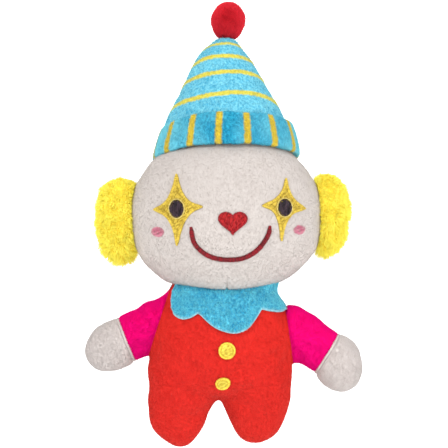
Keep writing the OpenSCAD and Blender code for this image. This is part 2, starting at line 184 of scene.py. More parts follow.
class Skin:
    """Points in working millimetres and the faces between them, with named values on the points."""

    def __init__(self, points, loops, starts, marks=None):
        self.points = np.asarray(points, float)
        self.loops = np.asarray(loops, int)
        self.starts = np.asarray(starts, int)
        self.marks = dict(marks or {})

    def sizes(self):
        return np.diff(np.r_[self.starts, len(self.loops)])

    def mesh(self, name, framed=False):
        mesh = bpy.data.meshes.new(name)
        points = to_frame(self.points) if framed else self.points
        mesh.vertices.add(len(points))
        mesh.vertices.foreach_set("co", points.astype(np.float32).ravel())
        mesh.loops.add(len(self.loops))
        mesh.loops.foreach_set("vertex_index", self.loops.astype(np.int32))
        mesh.polygons.add(len(self.starts))
        mesh.polygons.foreach_set("loop_start", self.starts.astype(np.int32))
        mesh.update(calc_edges=True)
        for key, values in self.marks.items():
            mark = mesh.attributes.new(key, "FLOAT", "POINT")
            mark.data.foreach_set("value", np.asarray(values, np.float32))
        return mesh

    def face_of_loops(self):
        return np.repeat(np.arange(len(self.starts)), self.sizes())

    def centres(self):
        total = np.zeros((len(self.starts), 3))
        np.add.at(total, self.face_of_loops(), self.points[self.loops])
        return total / self.sizes()[:, None]

    def triangles(self):
        """Fans of each face, as three point numbers."""
        sizes = self.sizes()
        found = []
        for n in np.unique(sizes):
            first = self.starts[sizes == n]
            for k in range(1, n - 1):
                found.append(self.loops[np.stack([first, first + k, first + k + 1], 1)])
        return np.vstack(found)

    def corners(self):
        """The triangles' point numbers, and their first, second and third corners."""
        tri = self.triangles()
        return tri, *(self.points[tri[:, k]] for k in range(3))

    def normals(self):
        tri, a, b, c = self.corners()
        flat = np.cross(b - a, c - a)
        out = np.zeros_like(self.points)
        for k in range(3):
            np.add.at(out, tri[:, k], flat)
        return unit(out)

    def kept(self, faces):
        """Only the faces chosen, and the points that they use."""
        loops = self.loops[faces[self.face_of_loops()]]
        sizes = self.sizes()[faces]
        used, renumbered = np.unique(loops, return_inverse=True)
        starts = np.r_[0, np.cumsum(sizes)[:-1]] if len(sizes) else np.zeros(0, int)
        marks = {k: v[used] for k, v in self.marks.items()}
        return Skin(self.points[used], renumbered, starts, marks)

    def split(self, point, normal):
        """The part on the normal's side of a plane and the part behind it, cut cleanly."""
        mesh = self.mesh("cut")
        bm = bmesh.new()
        bm.from_mesh(mesh)
        everything = bm.verts[:] + bm.edges[:] + bm.faces[:]
        bmesh.ops.bisect_plane(bm, geom=everything, dist=0.01, plane_co=Vector(point),
                               plane_no=Vector(normal))
        bm.to_mesh(mesh)
        bm.free()
        cut = skin_from(mesh, list(self.marks))
        front = (cut.centres() - np.array(point)) @ np.array(normal) > 0
        return cut.kept(front), cut.kept(~front)

    def tree(self):
        faces = [f.tolist() for f in np.split(self.loops, self.starts[1:])]
        return BVHTree.FromPolygons(self.points.tolist(), faces)


def skin_from(mesh, marks=()):
    points = np.empty(len(mesh.vertices) * 3)
    mesh.vertices.foreach_get("co", points)
    loops = np.empty(len(mesh.loops), np.int32)
    mesh.loops.foreach_get("vertex_index", loops)
    starts = np.empty(len(mesh.polygons), np.int32)
    mesh.polygons.foreach_get("loop_start", starts)
    kept = {}
    for key in marks:
        kept[key] = np.empty(len(mesh.vertices))
        mesh.attributes[key].data.foreach_get("value", kept[key])
    bpy.data.meshes.remove(mesh)
    return Skin(points.reshape(-1, 3), loops, starts, kept)


def quads(rows, cols, closed=True):
    """Faces of a grid whose rows run up and whose columns run anticlockwise seen from above."""
    r, c = np.meshgrid(np.arange(rows - 1), np.arange(cols if closed else cols - 1), indexing="ij")
    a, b = r * cols + c, r * cols + (c + 1) % cols
    return np.stack([a, b, b + cols, a + cols], -1).reshape(-1, 4)


def grid_skin(grid, closed=True, marks=None):
    grid = np.asarray(grid, float)
    faces = quads(grid.shape[0], grid.shape[1], closed)
    flat_marks = {k: np.asarray(v, float).ravel() for k, v in (marks or {}).items()}
    return Skin(grid.reshape(-1, 3), faces.ravel(), np.arange(len(faces)) * 4, flat_marks)


def polygons_skin(points, faces, marks=None):
    """A skin from faces of any number of sides."""
    sizes = [len(f) for f in faces]
    return Skin(points, np.concatenate(faces), np.r_[0, np.cumsum(sizes)[:-1]], marks)


def joined(skins):
    """All the skins as one, with a mark of 0 where a skin lacks it."""
    point_base = np.cumsum([0] + [len(s.points) for s in skins])
    loop_base = np.cumsum([0] + [len(s.loops) for s in skins])
    loops = np.concatenate([s.loops + base for s, base in zip(skins, point_base)])
    starts = np.concatenate([s.starts + base for s, base in zip(skins, loop_base)])
    marks = {}
    for key in sorted({k for s in skins for k in s.marks}):
        marks[key] = np.concatenate([s.marks.get(key, np.zeros(len(s.points))) for s in skins])
    return Skin(np.vstack([s.points for s in skins]), loops, starts, marks)


def thick(skin, thickness):
    """A closed shell: the skin, a copy of it further in, and rims along its open edges."""
    n = len(skin.points)
    inner = skin.points - thickness * skin.normals()
    face = skin.face_of_loops()
    following = np.arange(len(skin.loops)) + 1
    last = np.r_[skin.starts[1:], len(skin.loops)] - 1
    following[last] = skin.starts
    a, b = skin.loops, skin.loops[following]
    open_edge = ~np.isin(a * n + b, b * n + a)
    rim = np.stack([b[open_edge], a[open_edge], a[open_edge] + n, b[open_edge] + n], 1)
    back = (skin.starts[face] + last[face] - np.arange(len(skin.loops))).astype(int)
    loops = np.concatenate([skin.loops, skin.loops[back] + n, rim.ravel()])
    total = len(skin.loops)
    starts = np.concatenate([skin.starts, skin.starts + total, 2 * total + 4 * np.arange(len(rim))])
    marks = {k: np.concatenate([v, v]) for k, v in skin.marks.items()}
    return Skin(np.vstack([skin.points, inner]), loops, starts, marks)


def outward(skin):
    """The skin with its faces turned so that they face outwards."""
    _, a, b, c = skin.corners()
    if (a * np.cross(b, c)).sum() < 0:
        skin.loops = np.concatenate([f[::-1] for f in np.split(skin.loops, skin.starts[1:])])
    return skin


def tubes(paths, side, up, radius, sides):
    """Closed tubes along paths of equal point counts, in the side and up directions."""
    count, n = paths.shape[:2]
    turns = np.arange(sides) * 2 * math.pi / sides
    ring = [paths + radius * (math.cos(t) * side + math.sin(t) * up) for t in turns]
    base = np.arange(count)[:, None, None] * n * sides
    row = np.arange(n - 1)[None, :, None] * sides
    k = np.arange(sides)[None, None, :]
    a, b = base + row + k, base + row + (k + 1) % sides
    body = np.stack([b, a, a + sides, b + sides], -1).reshape(-1, 4)
    first = np.arange(count)[:, None] * n * sides + np.arange(sides)[None, :]
    last = first[:, ::-1] + (n - 1) * sides
    loops = np.concatenate([body.ravel(), first.ravel(), last.ravel()])
    starts = np.concatenate([np.arange(len(body)) * 4, 4 * len(body) + np.arange(2 * count) * sides])
    return Skin(np.stack(ring, 2).reshape(-1, 3), loops, starts)


def random_corners(skin, count, rng):
    """Corners of triangles picked at random, more often where they are larger."""
    tri, a, b, c = skin.corners()
    area = np.linalg.norm(np.cross(b - a, c - a), axis=1)
    return tri[rng.choice(len(tri), count, p=area / area.sum())]


def pile(skin, count, seed, length, width, lay, swirl, lean=(0, 0, -1), where=None):
    """Short tufts of pile, each a closed three-sided spike that leans along the nap."""
    rng = np.random.default_rng(seed)
    corners = random_corners(skin, count, rng)
    u, v = rng.random(count), rng.random(count)
    over = u + v > 1
    u[over], v[over] = 1 - u[over], 1 - v[over]
    share = np.stack([1 - u - v, u, v], 1)
    root = np.einsum("nk,nkd->nd", share, skin.points[corners])
    out = unit(np.einsum("nk,nkd->nd", share, skin.normals()[corners]))
    if where is not None:
        keep = where(root)
        root, out, corners, share = root[keep], out[keep], corners[keep], share[keep]
    n = len(root)
    eddies = [waves(root, 8, seed + 5 + k) + waves(root, 2.2, seed + 15 + k) for k in range(3)]
    flow = np.array(lean, float) + swirl * np.stack(eddies, 1)
    flow += rng.normal(size=(n, 3)) * 0.35
    along = flow - (flow * out).sum(1)[:, None] * out
    along /= np.maximum(np.linalg.norm(along, axis=1, keepdims=True), 0.8)
    reach = length * rng.uniform(0.65, 1.25, (n, 1))
    tip = root + reach * unit(out + along * lay / (1.02 - lay))
    side = unit(np.cross(out, along + 1e-3))
    fore = np.cross(side, out)
    root = root - 0.25 * out
    turns = (0.5, 0.5 + 2 * math.pi / 3, 0.5 + 4 * math.pi / 3)
    ring = [root + width * (math.cos(t) * side + math.sin(t) * fore) for t in turns]
    points = np.stack(ring + [tip], 1).reshape(-1, 3)
    base = np.arange(n)[:, None] * 4
    faces = np.concatenate([base + [2, 1, 0], base + [0, 1, 3], base + [1, 2, 3], base + [2, 0, 3]])
    marks = {}
    for key, values in skin.marks.items():
        marks[key] = np.repeat(np.einsum("nk,nk->n", share, values[corners]), 4)
    # Painted shade: each tuft's colour is darker at its root than at its tip
    marks["tip"] = np.tile([0.15, 0.15, 0.15, 1.0], n)
    marks["shade"] = np.repeat(rng.random(n), 4)
    return Skin(points, faces.ravel(), np.arange(len(faces)) * 3, marks)


# The tip mark paints shade into the pile: the lower it is, the darker the colour, as deep among the
# roots
def plain_marks(skin, tip):
    skin.marks["tip"] = np.full(len(skin.points), tip)
    skin.marks["shade"] = np.full(len(skin.points), 0.5)
    return skin


def nap(skin, count, seed, thickness=CLOTH, tip=0.5, **more):
    """Cloth with its pile. With no thickness, the pile stands on a solid form."""
    marked = plain_marks(skin, tip)
    settings = {"length": 0.8, "width": 0.2, "lay": 0.5, "swirl": 0.25, **more}
    tufts = pile(skin, count, seed, **settings)
    return joined([thick(marked, thickness) if thickness else marked, tufts])


def piece(name, skin, material, nodes=(), body=None, blend=None):
    """A finished piece that rides on a body, or stays where it is when blend is given, and stands for
    CAD nodes.
    """
    mesh = skin.mesh(name, framed=True)
    mesh.polygons.foreach_set("use_smooth", np.full(len(mesh.polygons), True))
    mesh.materials.append(material)
    obj = bpy.data.objects.new(name, mesh)
    bpy.context.scene.collection.objects.link(obj)
    if nodes:
        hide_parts(*nodes)
    if blend:
        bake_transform(obj)
    else:
        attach(obj, body)
    return obj


CLOTH_STEPS = 20


def modified(skin, setup, scale=1.0):
    """The skin after the modifiers that setup adds to it."""
    mesh = Skin(skin.points * scale, skin.loops, skin.starts).mesh("work")
    obj = bpy.data.objects.new("work", mesh)
    bpy.context.scene.collection.objects.link(obj)
    setup(obj)
    simulated = any(m.type == "CLOTH" for m in obj.modifiers)
    for step in range(1, (CLOTH_STEPS if simulated else 1) + 1):
        bpy.context.scene.frame_set(step)
    deps = bpy.context.evaluated_depsgraph_get()
    result = bpy.data.meshes.new_from_object(obj.evaluated_get(deps), depsgraph=deps)
    bpy.data.objects.remove(obj)
    bpy.context.scene.frame_set(1)
    out = skin_from(result)
    out.points /= scale
    return out


def with_modifier(skin, kind, **settings):
    def setup(obj):
        modifier = obj.modifiers.new(kind.lower(), kind)
        for key, value in settings.items():
            setattr(modifier, key, value)

    return modified(skin, setup)


def remeshed(skin, voxel):
    return with_modifier(skin, "REMESH", mode="VOXEL", voxel_size=voxel)


def subdivided(skin, levels=1):
    return with_modifier(skin, "SUBSURF", levels=levels)


def smoothed(skin, times):
    return with_modifier(skin, "SMOOTH", iterations=times, factor=0.5)


def stuffed(skin, pressure, cap):
    """The skin after its filling has pushed it out, by no more than cap millimetres.

    The cloth runs at ten times the real size, where the solver is steady.
    """

    def setup(obj):
        m = obj.modifiers.new("filling", "CLOTH")
        m.settings.quality = 6
        m.settings.mass = 0.3
        m.settings.tension_stiffness = m.settings.compression_stiffness = 12
        m.settings.shear_stiffness = 5
        m.settings.bending_stiffness = 0.6
        m.settings.use_pressure = True
        m.settings.uniform_pressure_force = pressure
        m.settings.effector_weights.gravity = 0
        m.collision_settings.use_collision = False
        m.point_cache.frame_start, m.point_cache.frame_end = 1, CLOTH_STEPS

    moved = modified(skin, setup, scale=0.01).points - skin.points
    far = np.linalg.norm(moved, axis=1, keepdims=True)
    skin.points = skin.points + moved * np.minimum(1, cap / np.maximum(far, 1e-6))
    return skin


# ---- Materials ----


def linear(r, g, b):
    """A colour from 0-255 as the eye sees it, for a shader socket."""
    parts = [c / 255 for c in (r, g, b)]
    return tuple(c / 12.92 if c <= 0.04045 else ((c + 0.055) / 1.055) ** 2.4 for c in parts) + (1,)


class Nodes:
    """Short way to add and join shader nodes."""

    def __init__(self, name):
        self.material = bpy.data.materials.new(name)
        self.material.use_nodes = True
        self.tree = self.material.node_tree
        self.shader = self.tree.nodes["Principled BSDF"]
        self.place = self.add("ShaderNodeTexCoord").outputs["Object"]

    def add(self, kind, **values):
        node = self.tree.nodes.new(kind)
        for key, value in values.items():
            setattr(node, key, value)
        return node

    def link(self, a, b):
        self.tree.links.new(a, b)

    def noise(self, scale, detail=3.0, rough=0.55, stretch=None):
        node = self.add("ShaderNodeTexNoise")
        node.inputs["Scale"].default_value = scale
        node.inputs["Detail"].default_value = detail
        node.inputs["Roughness"].default_value = rough
        source = self.place
        if stretch:
            turned = self.add("ShaderNodeMapping")
            turned.inputs["Scale"].default_value = stretch
            self.link(source, turned.inputs["Vector"])
            source = turned.outputs["Vector"]
        self.link(source, node.inputs["Vector"])
        return node.outputs["Fac"]

    def mark(self, name):
        return self.add("ShaderNodeAttribute", attribute_name=name).outputs["Fac"]

    def ranged(self, value, low, high):
        node = self.add("ShaderNodeMapRange", interpolation_type="SMOOTHSTEP")
        node.inputs["From Min"].default_value = low
        node.inputs["From Max"].default_value = high
        self.link(value, node.inputs["Value"])
        return node.outputs["Result"]

    def feed(self, sockets, values):
        for socket, value in zip(sockets, values):
            if isinstance(value, (int, float, tuple)):
                socket.default_value = value
            else:
                self.link(value, socket)

    def math(self, how, a, b):
        node = self.add("ShaderNodeMath", operation=how)
        self.feed(node.inputs, (a, b))
        return node.outputs["Value"]

    def plus(self, a, b, share):
        """a and a share of b."""
        return self.math("ADD", a, self.math("MULTIPLY", b, share))

    def mix(self, factor, a, b):
        node = self.add("ShaderNodeMix", data_type="RGBA")
        self.feed((node.inputs[0], node.inputs[6], node.inputs[7]), (factor, a, b))
        return node.outputs[2]

    def finish(self, colour, rough, sheen, specular, bump=None, depth=0.0, tint=None):
        self.link(colour, self.shader.inputs["Base Color"])
        self.shader.inputs["Roughness"].default_value = rough
        self.shader.inputs["Specular IOR Level"].default_value = specular
        self.shader.inputs["Sheen Weight"].default_value = sheen
        self.shader.inputs["Sheen Roughness"].default_value = 0.45
        if tint:
            self.shader.inputs["Sheen Tint"].default_value = tint
        if bump is not None:
            node = self.add("ShaderNodeBump")
            node.inputs["Strength"].default_value = 0.5
            node.inputs["Distance"].default_value = depth
            self.link(bump, node.inputs["Height"])
            self.link(node.outputs["Normal"], self.shader.inputs["Normal"])
        return self.material


def plush(name, colour, deep, stripe=None, stripe_deep=None, *, sheen, soft_edge=0.7, bloom=None,
          glow=0.0, turned=None, frost=False):
    """Short pile: dark at its roots, light at its tips, brushed into soft patches.

    Bloom is the colour of the light that the pile catches at a slant. Glow is the strength of a
    painted glow: the pile gives off light of its own colour, in place of light that comes through
    long fine pile. A painted sheen colour, when given, is laid where the turn mark is high.
    Frosty pile has tips that differ more.
    """
    n = Nodes(name)
    patches = n.noise(95, 4, 0.6)
    grain = n.noise(700, 2, 0.7, stretch=(1, 1, 0.5))
    # Painted shade: the tip mark darkens the colour towards the roots of the pile; the shade mark and
    # the noises add tone that differs at random
    height = n.plus(n.plus(n.mark("tip"), n.mark("shade"), 0.65), patches, 0.35)
    flecks, low, high = (1.0, 1.15, 1.9) if frost else (0.55, 0.65, 2.0)
    light = n.ranged(n.plus(height, grain, flecks), low, high)
    result = n.mix(light, linear(*deep), linear(*colour))
    # Painted sheen: a lighter colour laid where the turn mark is high
    if turned:
        result = n.mix(n.mark("turn"), result, linear(*turned))
    if stripe:
        ragged = n.math("SUBTRACT", n.noise(500), 0.5)
        on = n.ranged(n.plus(n.mark("stripe"), ragged, 2.2), -soft_edge, soft_edge)
        result = n.mix(on, result, n.mix(light, linear(*stripe_deep), linear(*stripe)))
    # Painted glow: the pile gives off light of its own colour, which lightens its shade
    if glow:
        n.link(result, n.shader.inputs["Emission Color"])
        n.shader.inputs["Emission Strength"].default_value = glow
    bump = n.plus(grain, patches, 0.15)
    return n.finish(result, 0.92, sheen, 0.12, bump, 0.0005, linear(*(bloom or colour)))


def thread(name, colour, deep):
    """Glossy embroidery thread, a little different from stitch to stitch."""
    n = Nodes(name)
    twist = n.noise(2600, 1, 0.5, stretch=(1, 1, 0.5))
    light = n.ranged(n.plus(n.mark("shade"), twist, 0.6), 0.2, 1.3)
    colour = n.mix(light, linear(*deep), linear(*colour))
    return n.finish(colour, 0.42, 0.0, 0.3, twist, 0.00012)


def woven(name, colour, deep):
    """Thin plain-woven cloth."""
    n = Nodes(name)
    bands = []
    for axis in ("X", "Z"):
        wave = n.add("ShaderNodeTexWave", bands_direction=axis)
        wave.inputs["Scale"].default_value = 420
        wave.inputs["Distortion"].default_value = 0.6
        n.link(n.place, wave.inputs["Vector"])
        bands.append(wave.outputs["Fac"])
    weave = n.math("MULTIPLY", bands[0], bands[1])
    patches = n.noise(60, 3)
    light = n.ranged(n.math("ADD", weave, patches), 0.2, 1.4)
    return n.finish(n.mix(light, linear(*deep), linear(*colour)), 0.8, 0.1, 0.2, weave, 0.0002)


def fibres(name, colour, deep):
    """Loose fibrefill."""
    n = Nodes(name)
    strands = n.noise(420, 5, 0.7, stretch=(1, 0.35, 1))
    light = n.ranged(strands, 0.3, 0.7)
    return n.finish(n.mix(light, linear(*deep), linear(*colour)), 0.95, 0.3, 0.1, strands, 0.0015)


# Two copies of one white plush: the head's is painted darker, as painted shade from the hat and under
# the chin, and the copy for the hands and wrist piping is lighter
SHADED_HEAD_PLUSH = plush("white_plush", (217, 211, 207), (188, 178, 172), sheen=0.15)
LIT_HAND_PLUSH = plush("white_hand_plush_painted_light", (231, 224, 221), (202, 191, 186), sheen=0.15)
RED = plush("red_plush", (244, 56, 45), (206, 37, 34), sheen=0.35, bloom=(255, 130, 118))
MAGENTA = plush("magenta_plush", (255, 4, 142), (246, 0, 120), sheen=0.3)
CONE = plush("striped_blue_plush", (152, 230, 242), (56, 164, 202), (242, 232, 96), (206, 188, 76),
             sheen=0.4, frost=True)
# The cuff's pile gets a painted sheen colour for its sides
CUFF = plush("cuff_blue_plush", (64, 194, 224), (4, 120, 166), (240, 214, 72), (198, 168, 56),
             sheen=0.4, bloom=(150, 226, 236), turned=(140, 228, 240), frost=True)
COLLAR = plush("collar_plush", (128, 236, 250), (22, 158, 206), (196, 240, 246), (130, 206, 226),
               sheen=0.5, soft_edge=1.0, bloom=(190, 236, 244), frost=True)
FELT = plush("red_felt", (255, 58, 72), (214, 34, 50), sheen=0.3)
# The yellow pile has a painted glow, in place of light that comes through long fine pile
PILE = plush("yellow_pile", (255, 248, 104), (250, 226, 78), sheen=0.15, glow=0.14)
GOLD = thread("gold_thread", (232, 204, 80), (182, 152, 50))
INK = thread("dark_thread", (70, 52, 62), (26, 18, 26))
PALE = thread("pale_thread", (232, 212, 128), (196, 172, 84))
HEART = thread("red_thread", (208, 38, 42), (150, 18, 26))
HEART_EDGE = thread("red_edge_thread", (172, 24, 34), (112, 10, 20))
SMILE = thread("crimson_thread", (146, 10, 28), (84, 4, 14))
PINK = thread("pink_thread", (224, 136, 158), (190, 92, 120))
BUTTON = thread("yellow_thread", (250, 230, 84), (222, 190, 60))
BUTTON_FILL = thread("yellow_fill_thread", (255, 236, 96), (222, 196, 66))
LINING = woven("lining", (232, 228, 216), (196, 188, 172))
FIBRE = fibres("fibrefill", (244, 243, 238), (206, 204, 196))


# ---- Head ----

# Width of the head's mouth over its full width, at the sides and at the front and back
MOUTH_SIDE, MOUTH_FRONT = 0.56, 0.37
HEAD_TOP = 87.5  # elevation in degrees of the last row of points
HEAD_ROWS = 100
CHIN_SEAM_Z = 115.0


def head_grid(azimuths):
    """Rows of points over the head, from its mouth up to its top."""
    az = np.radians(azimuths)[None, :]
    mouth = MOUTH_FRONT + (MOUTH_SIDE - MOUTH_FRONT) * np.cos(az) ** 2
    low = -np.arccos(mouth**1.25)
    el = low + (math.radians(HEAD_TOP) - low) * np.linspace(0, 1, HEAD_ROWS)[:, None]
    squareness = np.where(el < 0, 0.8, 1.0)
    height = np.where(el < 0, CHIN, CROWN)
    flat = np.cos(el) ** squareness
    x = HEAD_X + HEAD_W * flat * np.cos(az)
    y = HEAD_D * flat * np.sin(az)
    z = HEAD_Z + height * np.sign(np.sin(el)) * np.abs(np.sin(el)) ** squareness + 0 * az
    return np.stack([x, y, z], -1)


def head_shape(points, normals):
    """Stuffing lumps, the side seams and the chin dart."""
    lumps = 0.5 * waves(points, 26, 3) + 0.22 * waves(points, 9, 4)
    seam = -1.5 * np.exp(-((points[:, 1] / 1.6) ** 2))
    dart = -1.3 * np.exp(-(((points[:, 0] - 1) / 0.9) ** 2)) * (points[:, 1] < 0)
    dart *= np.clip((CHIN_SEAM_Z + 1.5 - points[:, 2]) / 3, 0, 1)
    shaped = points + normals * (lumps + seam + dart)[:, None]
    # The chin sags over the collar, and a little to the puppet's right
    shaped[:, 0] -= 1.8 * np.clip((132 - points[:, 2]) / 20, 0, 1)
    reach = np.hypot((points[:, 0] - HEAD_X) / HEAD_W, points[:, 1] / HEAD_D)
    facing = points[:, 1] / HEAD_D / np.maximum(reach, 0.1)
    sag = np.where(facing < 0, 1.5 + 3.6 * facing**2, 1.5 + 1.2 * facing**2)
    shaped[:, 2] -= sag * np.exp(-(((reach - 0.6) / 0.17) ** 2)) * (points[:, 2] < HEAD_Z)
    return shaped


head_skins = {}
for half, start in (("front", 180), ("back", 0)):
    skin = grid_skin(head_grid(np.linspace(start, start + 180, 128)), closed=False)
    skin.points = head_shape(skin.points, skin.normals())
    head_skins[half] = skin
head_tree = head_skins["front"].tree()


def laid(tree, xz, off):
    """Points a little in front of a surface, and its outward normals there."""
    points, normals = np.empty((len(xz), 3)), np.empty((len(xz), 3))
    off = np.broadcast_to(off, len(xz))
    last = (Vector((0, -40, 0)), Vector((0, -1, 0)))
    for i, (x, z) in enumerate(xz):
        hit, normal = tree.ray_cast(Vector((x, -200, z)), Vector((0, 1, 0)))[:2]
        if hit is None:
            hit, normal = Vector((x, last[0].y, z)), last[1]
        last = (hit, normal)
        points[i] = hit + normal * off[i]
        normals[i] = normal
    return points, normals


# ---- Embroidery ----


THREAD_FLAT = 0.75  # height of a thread over its width
THREAD_SIDES = 5
FILL_RADIUS = 0.27


def threads(paths, normals, radius, seed):
    """Closed thread tubes along paths of equal point counts, thinner at both ends."""
    count, n = paths.shape[:2]
    along = unit(np.gradient(paths, axis=1))
    side = unit(np.cross(along, normals))
    up = np.cross(side, along)
    ends = np.ones(n)
    ends[[0, -1]] = 0.45
    skin = tubes(paths, side, THREAD_FLAT * up, radius * ends[None, :, None], THREAD_SIDES)
    skin.marks["shade"] = np.repeat(np.random.default_rng(seed).random(count), n * THREAD_SIDES)
    return skin


def over(tree, a, b, base, rise, radius, seed):
    """Stitches that arch over a surface from points a to points b of its front view."""
    t = np.linspace(0, 1, 5)
    xz = a[:, None, :] * (1 - t)[None, :, None] + b[:, None, :] * t[None, :, None]
    off = base + rise * (1 - (2 * t - 1) ** 4)
    points, normals = laid(tree, xz.reshape(-1, 2), np.tile(off, len(a)))
    shape = (len(a), len(t), 3)
    return threads(points.reshape(shape), normals.reshape(shape), radius, seed)


def satin(tree, path, width, closed, base, rise, seed, radius=0.26, step=0.4):
    """Satin stitch: stitches side by side across a path."""
    path = spaced(path, step, closed)
    if closed:
        ahead = np.roll(path, -2, axis=0) - np.roll(path, 2, axis=0)
    else:
        ahead = np.gradient(path, axis=0)
    across = unit(np.stack([-ahead[:, 1], ahead[:, 0]], 1))
    rng = np.random.default_rng(seed)
    half = width / 2 * (1 + rng.uniform(-0.06, 0.06, (len(path), 1)))
    if not closed:
        run = np.minimum(np.arange(len(path)), np.arange(len(path))[::-1])[:, None] * step
        half = half * np.minimum(1, 0.55 + 0.45 * run / width)
    return over(tree, path - across * half, path + across * half, base, rise, radius, seed)


def rows_of_fill(outline, angle, step, length, seed):
    """Ends of the stitches that fill an outline in rows, broken like bricks."""
    rng = np.random.default_rng(seed)
    turn = np.array([[math.cos(angle), math.sin(angle)], [-math.sin(angle), math.cos(angle)]])
    flat = outline @ turn.T
    starts, stops = [], []
    for level in np.arange(flat[:, 1].min() + step / 2, flat[:, 1].max(), step):
        a, b = flat, np.roll(flat, -1, axis=0)
        crosses = (a[:, 1] > level) != (b[:, 1] > level)
        share = (level - a[crosses, 1]) / (b[crosses, 1] - a[crosses, 1])
        xs = np.sort(a[crosses, 0] + share * (b[crosses, 0] - a[crosses, 0]))
        for left, right in zip(xs[::2], xs[1::2]):
            if right - left < 0.5:
                continue
            cuts = np.arange(left + rng.uniform(0.3, 1) * length, right - 0.5, length)
            marks = np.r_[left, cuts, right]
            for p, q in zip(marks, marks[1:]):
                starts.append((p, level))
                stops.append((q, level))
    return np.array(starts) @ turn, np.array(stops) @ turn


def filled(tree, outline, angle, base, seed, rise=0.3, step=0.5, length=3.6):
    """Rows of stitches at an angle in radians that fill an outline."""
    a, b = rows_of_fill(outline, angle, step, length, seed)
    return over(tree, a, b, base, rise, FILL_RADIUS, seed)


def backing(tree, outline, top, thickness=0.9):
    """Raised padding under stitches, closed at its edges."""
    outline = spaced(outline, 1.0)
    shares = [1.0, 0.9, 0.75, 0.55, 0.3, 0.02]
    xz = np.vstack([scaled(outline, s) for s in shares])
    off = np.repeat([top * (1 - s**8) - 0.1 for s in shares], len(outline))
    points, _ = laid(tree, xz, off)
    n = len(outline)
    spin = 1 if signed_area(outline) > 0 else -1
    faces = list(quads(len(shares), n)[:, ::spin])
    middle = np.arange(n)[::spin] + n * (len(shares) - 1)
    padding = polygons_skin(points, faces + [middle], {"shade": np.full(len(points), 0.35)})
    return thick(padding, thickness)


def star_side(a, b, corner):
    """A side of a star from one tip to the next, curved in to the corner between them."""
    a, b, corner = (np.array(p, float) for p in (a, b, corner))
    t = np.linspace(0, 1, 15)[:, None]
    return (1 - t) ** 2 * a + 2 * t * (1 - t) * (2 * corner - (a + b) / 2) + t * t * b


def star_sides(tips, corners):
    return [star_side(tips[k], tips[(k + 1) % 4], corners[k]) for k in range(4)]


def star_border(tree, sides, width, seed):
    """Satin along each side, narrowing into the tips."""
    centre = np.vstack(sides).mean(0)
    parts = []
    for k, side in enumerate(sides):
        path = spaced(side, 1.0, closed=False)
        run = run_of(path)
        share = np.minimum(1, (np.minimum(run, run[-1] - run) + 0.6) / 7)[:, None]
        path = path + unit(centre - path) * width * 0.42 * share
        parts.append(satin(tree, path, width, False, base=0.25, rise=0.75, seed=seed + k, step=0.42))
    return parts


def oval(centre, rx, rz, turn=0.0):
    t = np.linspace(0, 2 * math.pi, 40, endpoint=False)
    u, v = rx * np.cos(t), rz * np.sin(t)
    turn = math.radians(turn)
    return np.stack([centre[0] + u * math.cos(turn) - v * math.sin(turn),
                     centre[1] + u * math.sin(turn) + v * math.cos(turn)], 1)


def heart_outline(centre, half_w, unit_z):
    t = (np.arange(64) + 0.5) * 2 * math.pi / 64
    x = -half_w * np.sin(t) ** 3
    z = unit_z * (13 * np.cos(t) - 5 * np.cos(2 * t) - 2 * np.cos(3 * t) - np.cos(4 * t))
    return np.stack([centre[0] + x, centre[1] + z], 1)


# Tips and inner corners from the top, anticlockwise as seen from the front
STAR_SIDES = {
    "right": star_sides([(-34.1, 182.4), (-49.1, 159.2), (-33.8, 135.7), (-16.9, 161)],
                        [(-39.8, 167), (-38.6, 150.8), (-27.2, 153.2), (-28.1, 167.6)]),
    "left": star_sides([(38.3, 179.6), (22.6, 161.6), (35.3, 138.7), (51, 159.8)],
                       [(34.1, 169.4), (31.4, 155), (40.1, 153.1), (42.2, 168.8)]),
}
STARS = {side: np.vstack([part[:-1] for part in parts]) for side, parts in STAR_SIDES.items()}
PUPILS = {"right": oval((-33.7, 159.6), 4.7, 6.0), "left": oval((37.1, 160.4), 4.6, 5.8)}
CHEEKS = {"right": oval((-46.6, 144.4), 4.4, 3.3, -8), "left": oval((47.2, 145.8), 4.1, 3.0, 10)}
NOSE = heart_outline((3.1, 151.1), 9.8, 0.53)
SMILE_LINE = [(-24.5, 147.5), (-23, 138.7), (-20, 133.9), (-15.2, 129.9), (-9.7, 127.4), (-2.5, 126.1),
              (7, 126.4), (14.2, 128.9), (20.2, 133.3), (24.5, 138.9), (26.9, 143.6), (27.5, 148.3)]
SMILE_PATH = through(SMILE_LINE, 90)
HAT_EDGE_Z = 204.0
stitched_areas = [grown(o, 0.5) for o in (*STARS.values(), *CHEEKS.values(), NOSE)]


def face_pile(root):
    """No pile under the stitches or where the hat covers the head."""
    keep = root[:, 2] < HAT_EDGE_Z
    front = root[:, 1] < 0
    for outline in stitched_areas:
        keep &= ~(front & inside(root[:, [0, 2]], outline))
    near = np.min(np.linalg.norm(root[:, None, [0, 2]] - SMILE_PATH[None, ::2], axis=2), axis=1)
    return keep & ~(front & (near < 1.9))


def stitched(name, parts, material, nodes=()):
    """Embroidery on the face."""
    piece(name, joined(parts), material, nodes, body="head")


for half, skin in head_skins.items():
    cloth = nap(skin, 37000, 11 + len(half), length=0.75, lay=0.35, swirl=0.2, where=face_pile)
    piece(f"head_{half}_plush", cloth, SHADED_HEAD_PLUSH, [f"head_{half}"], body="head")

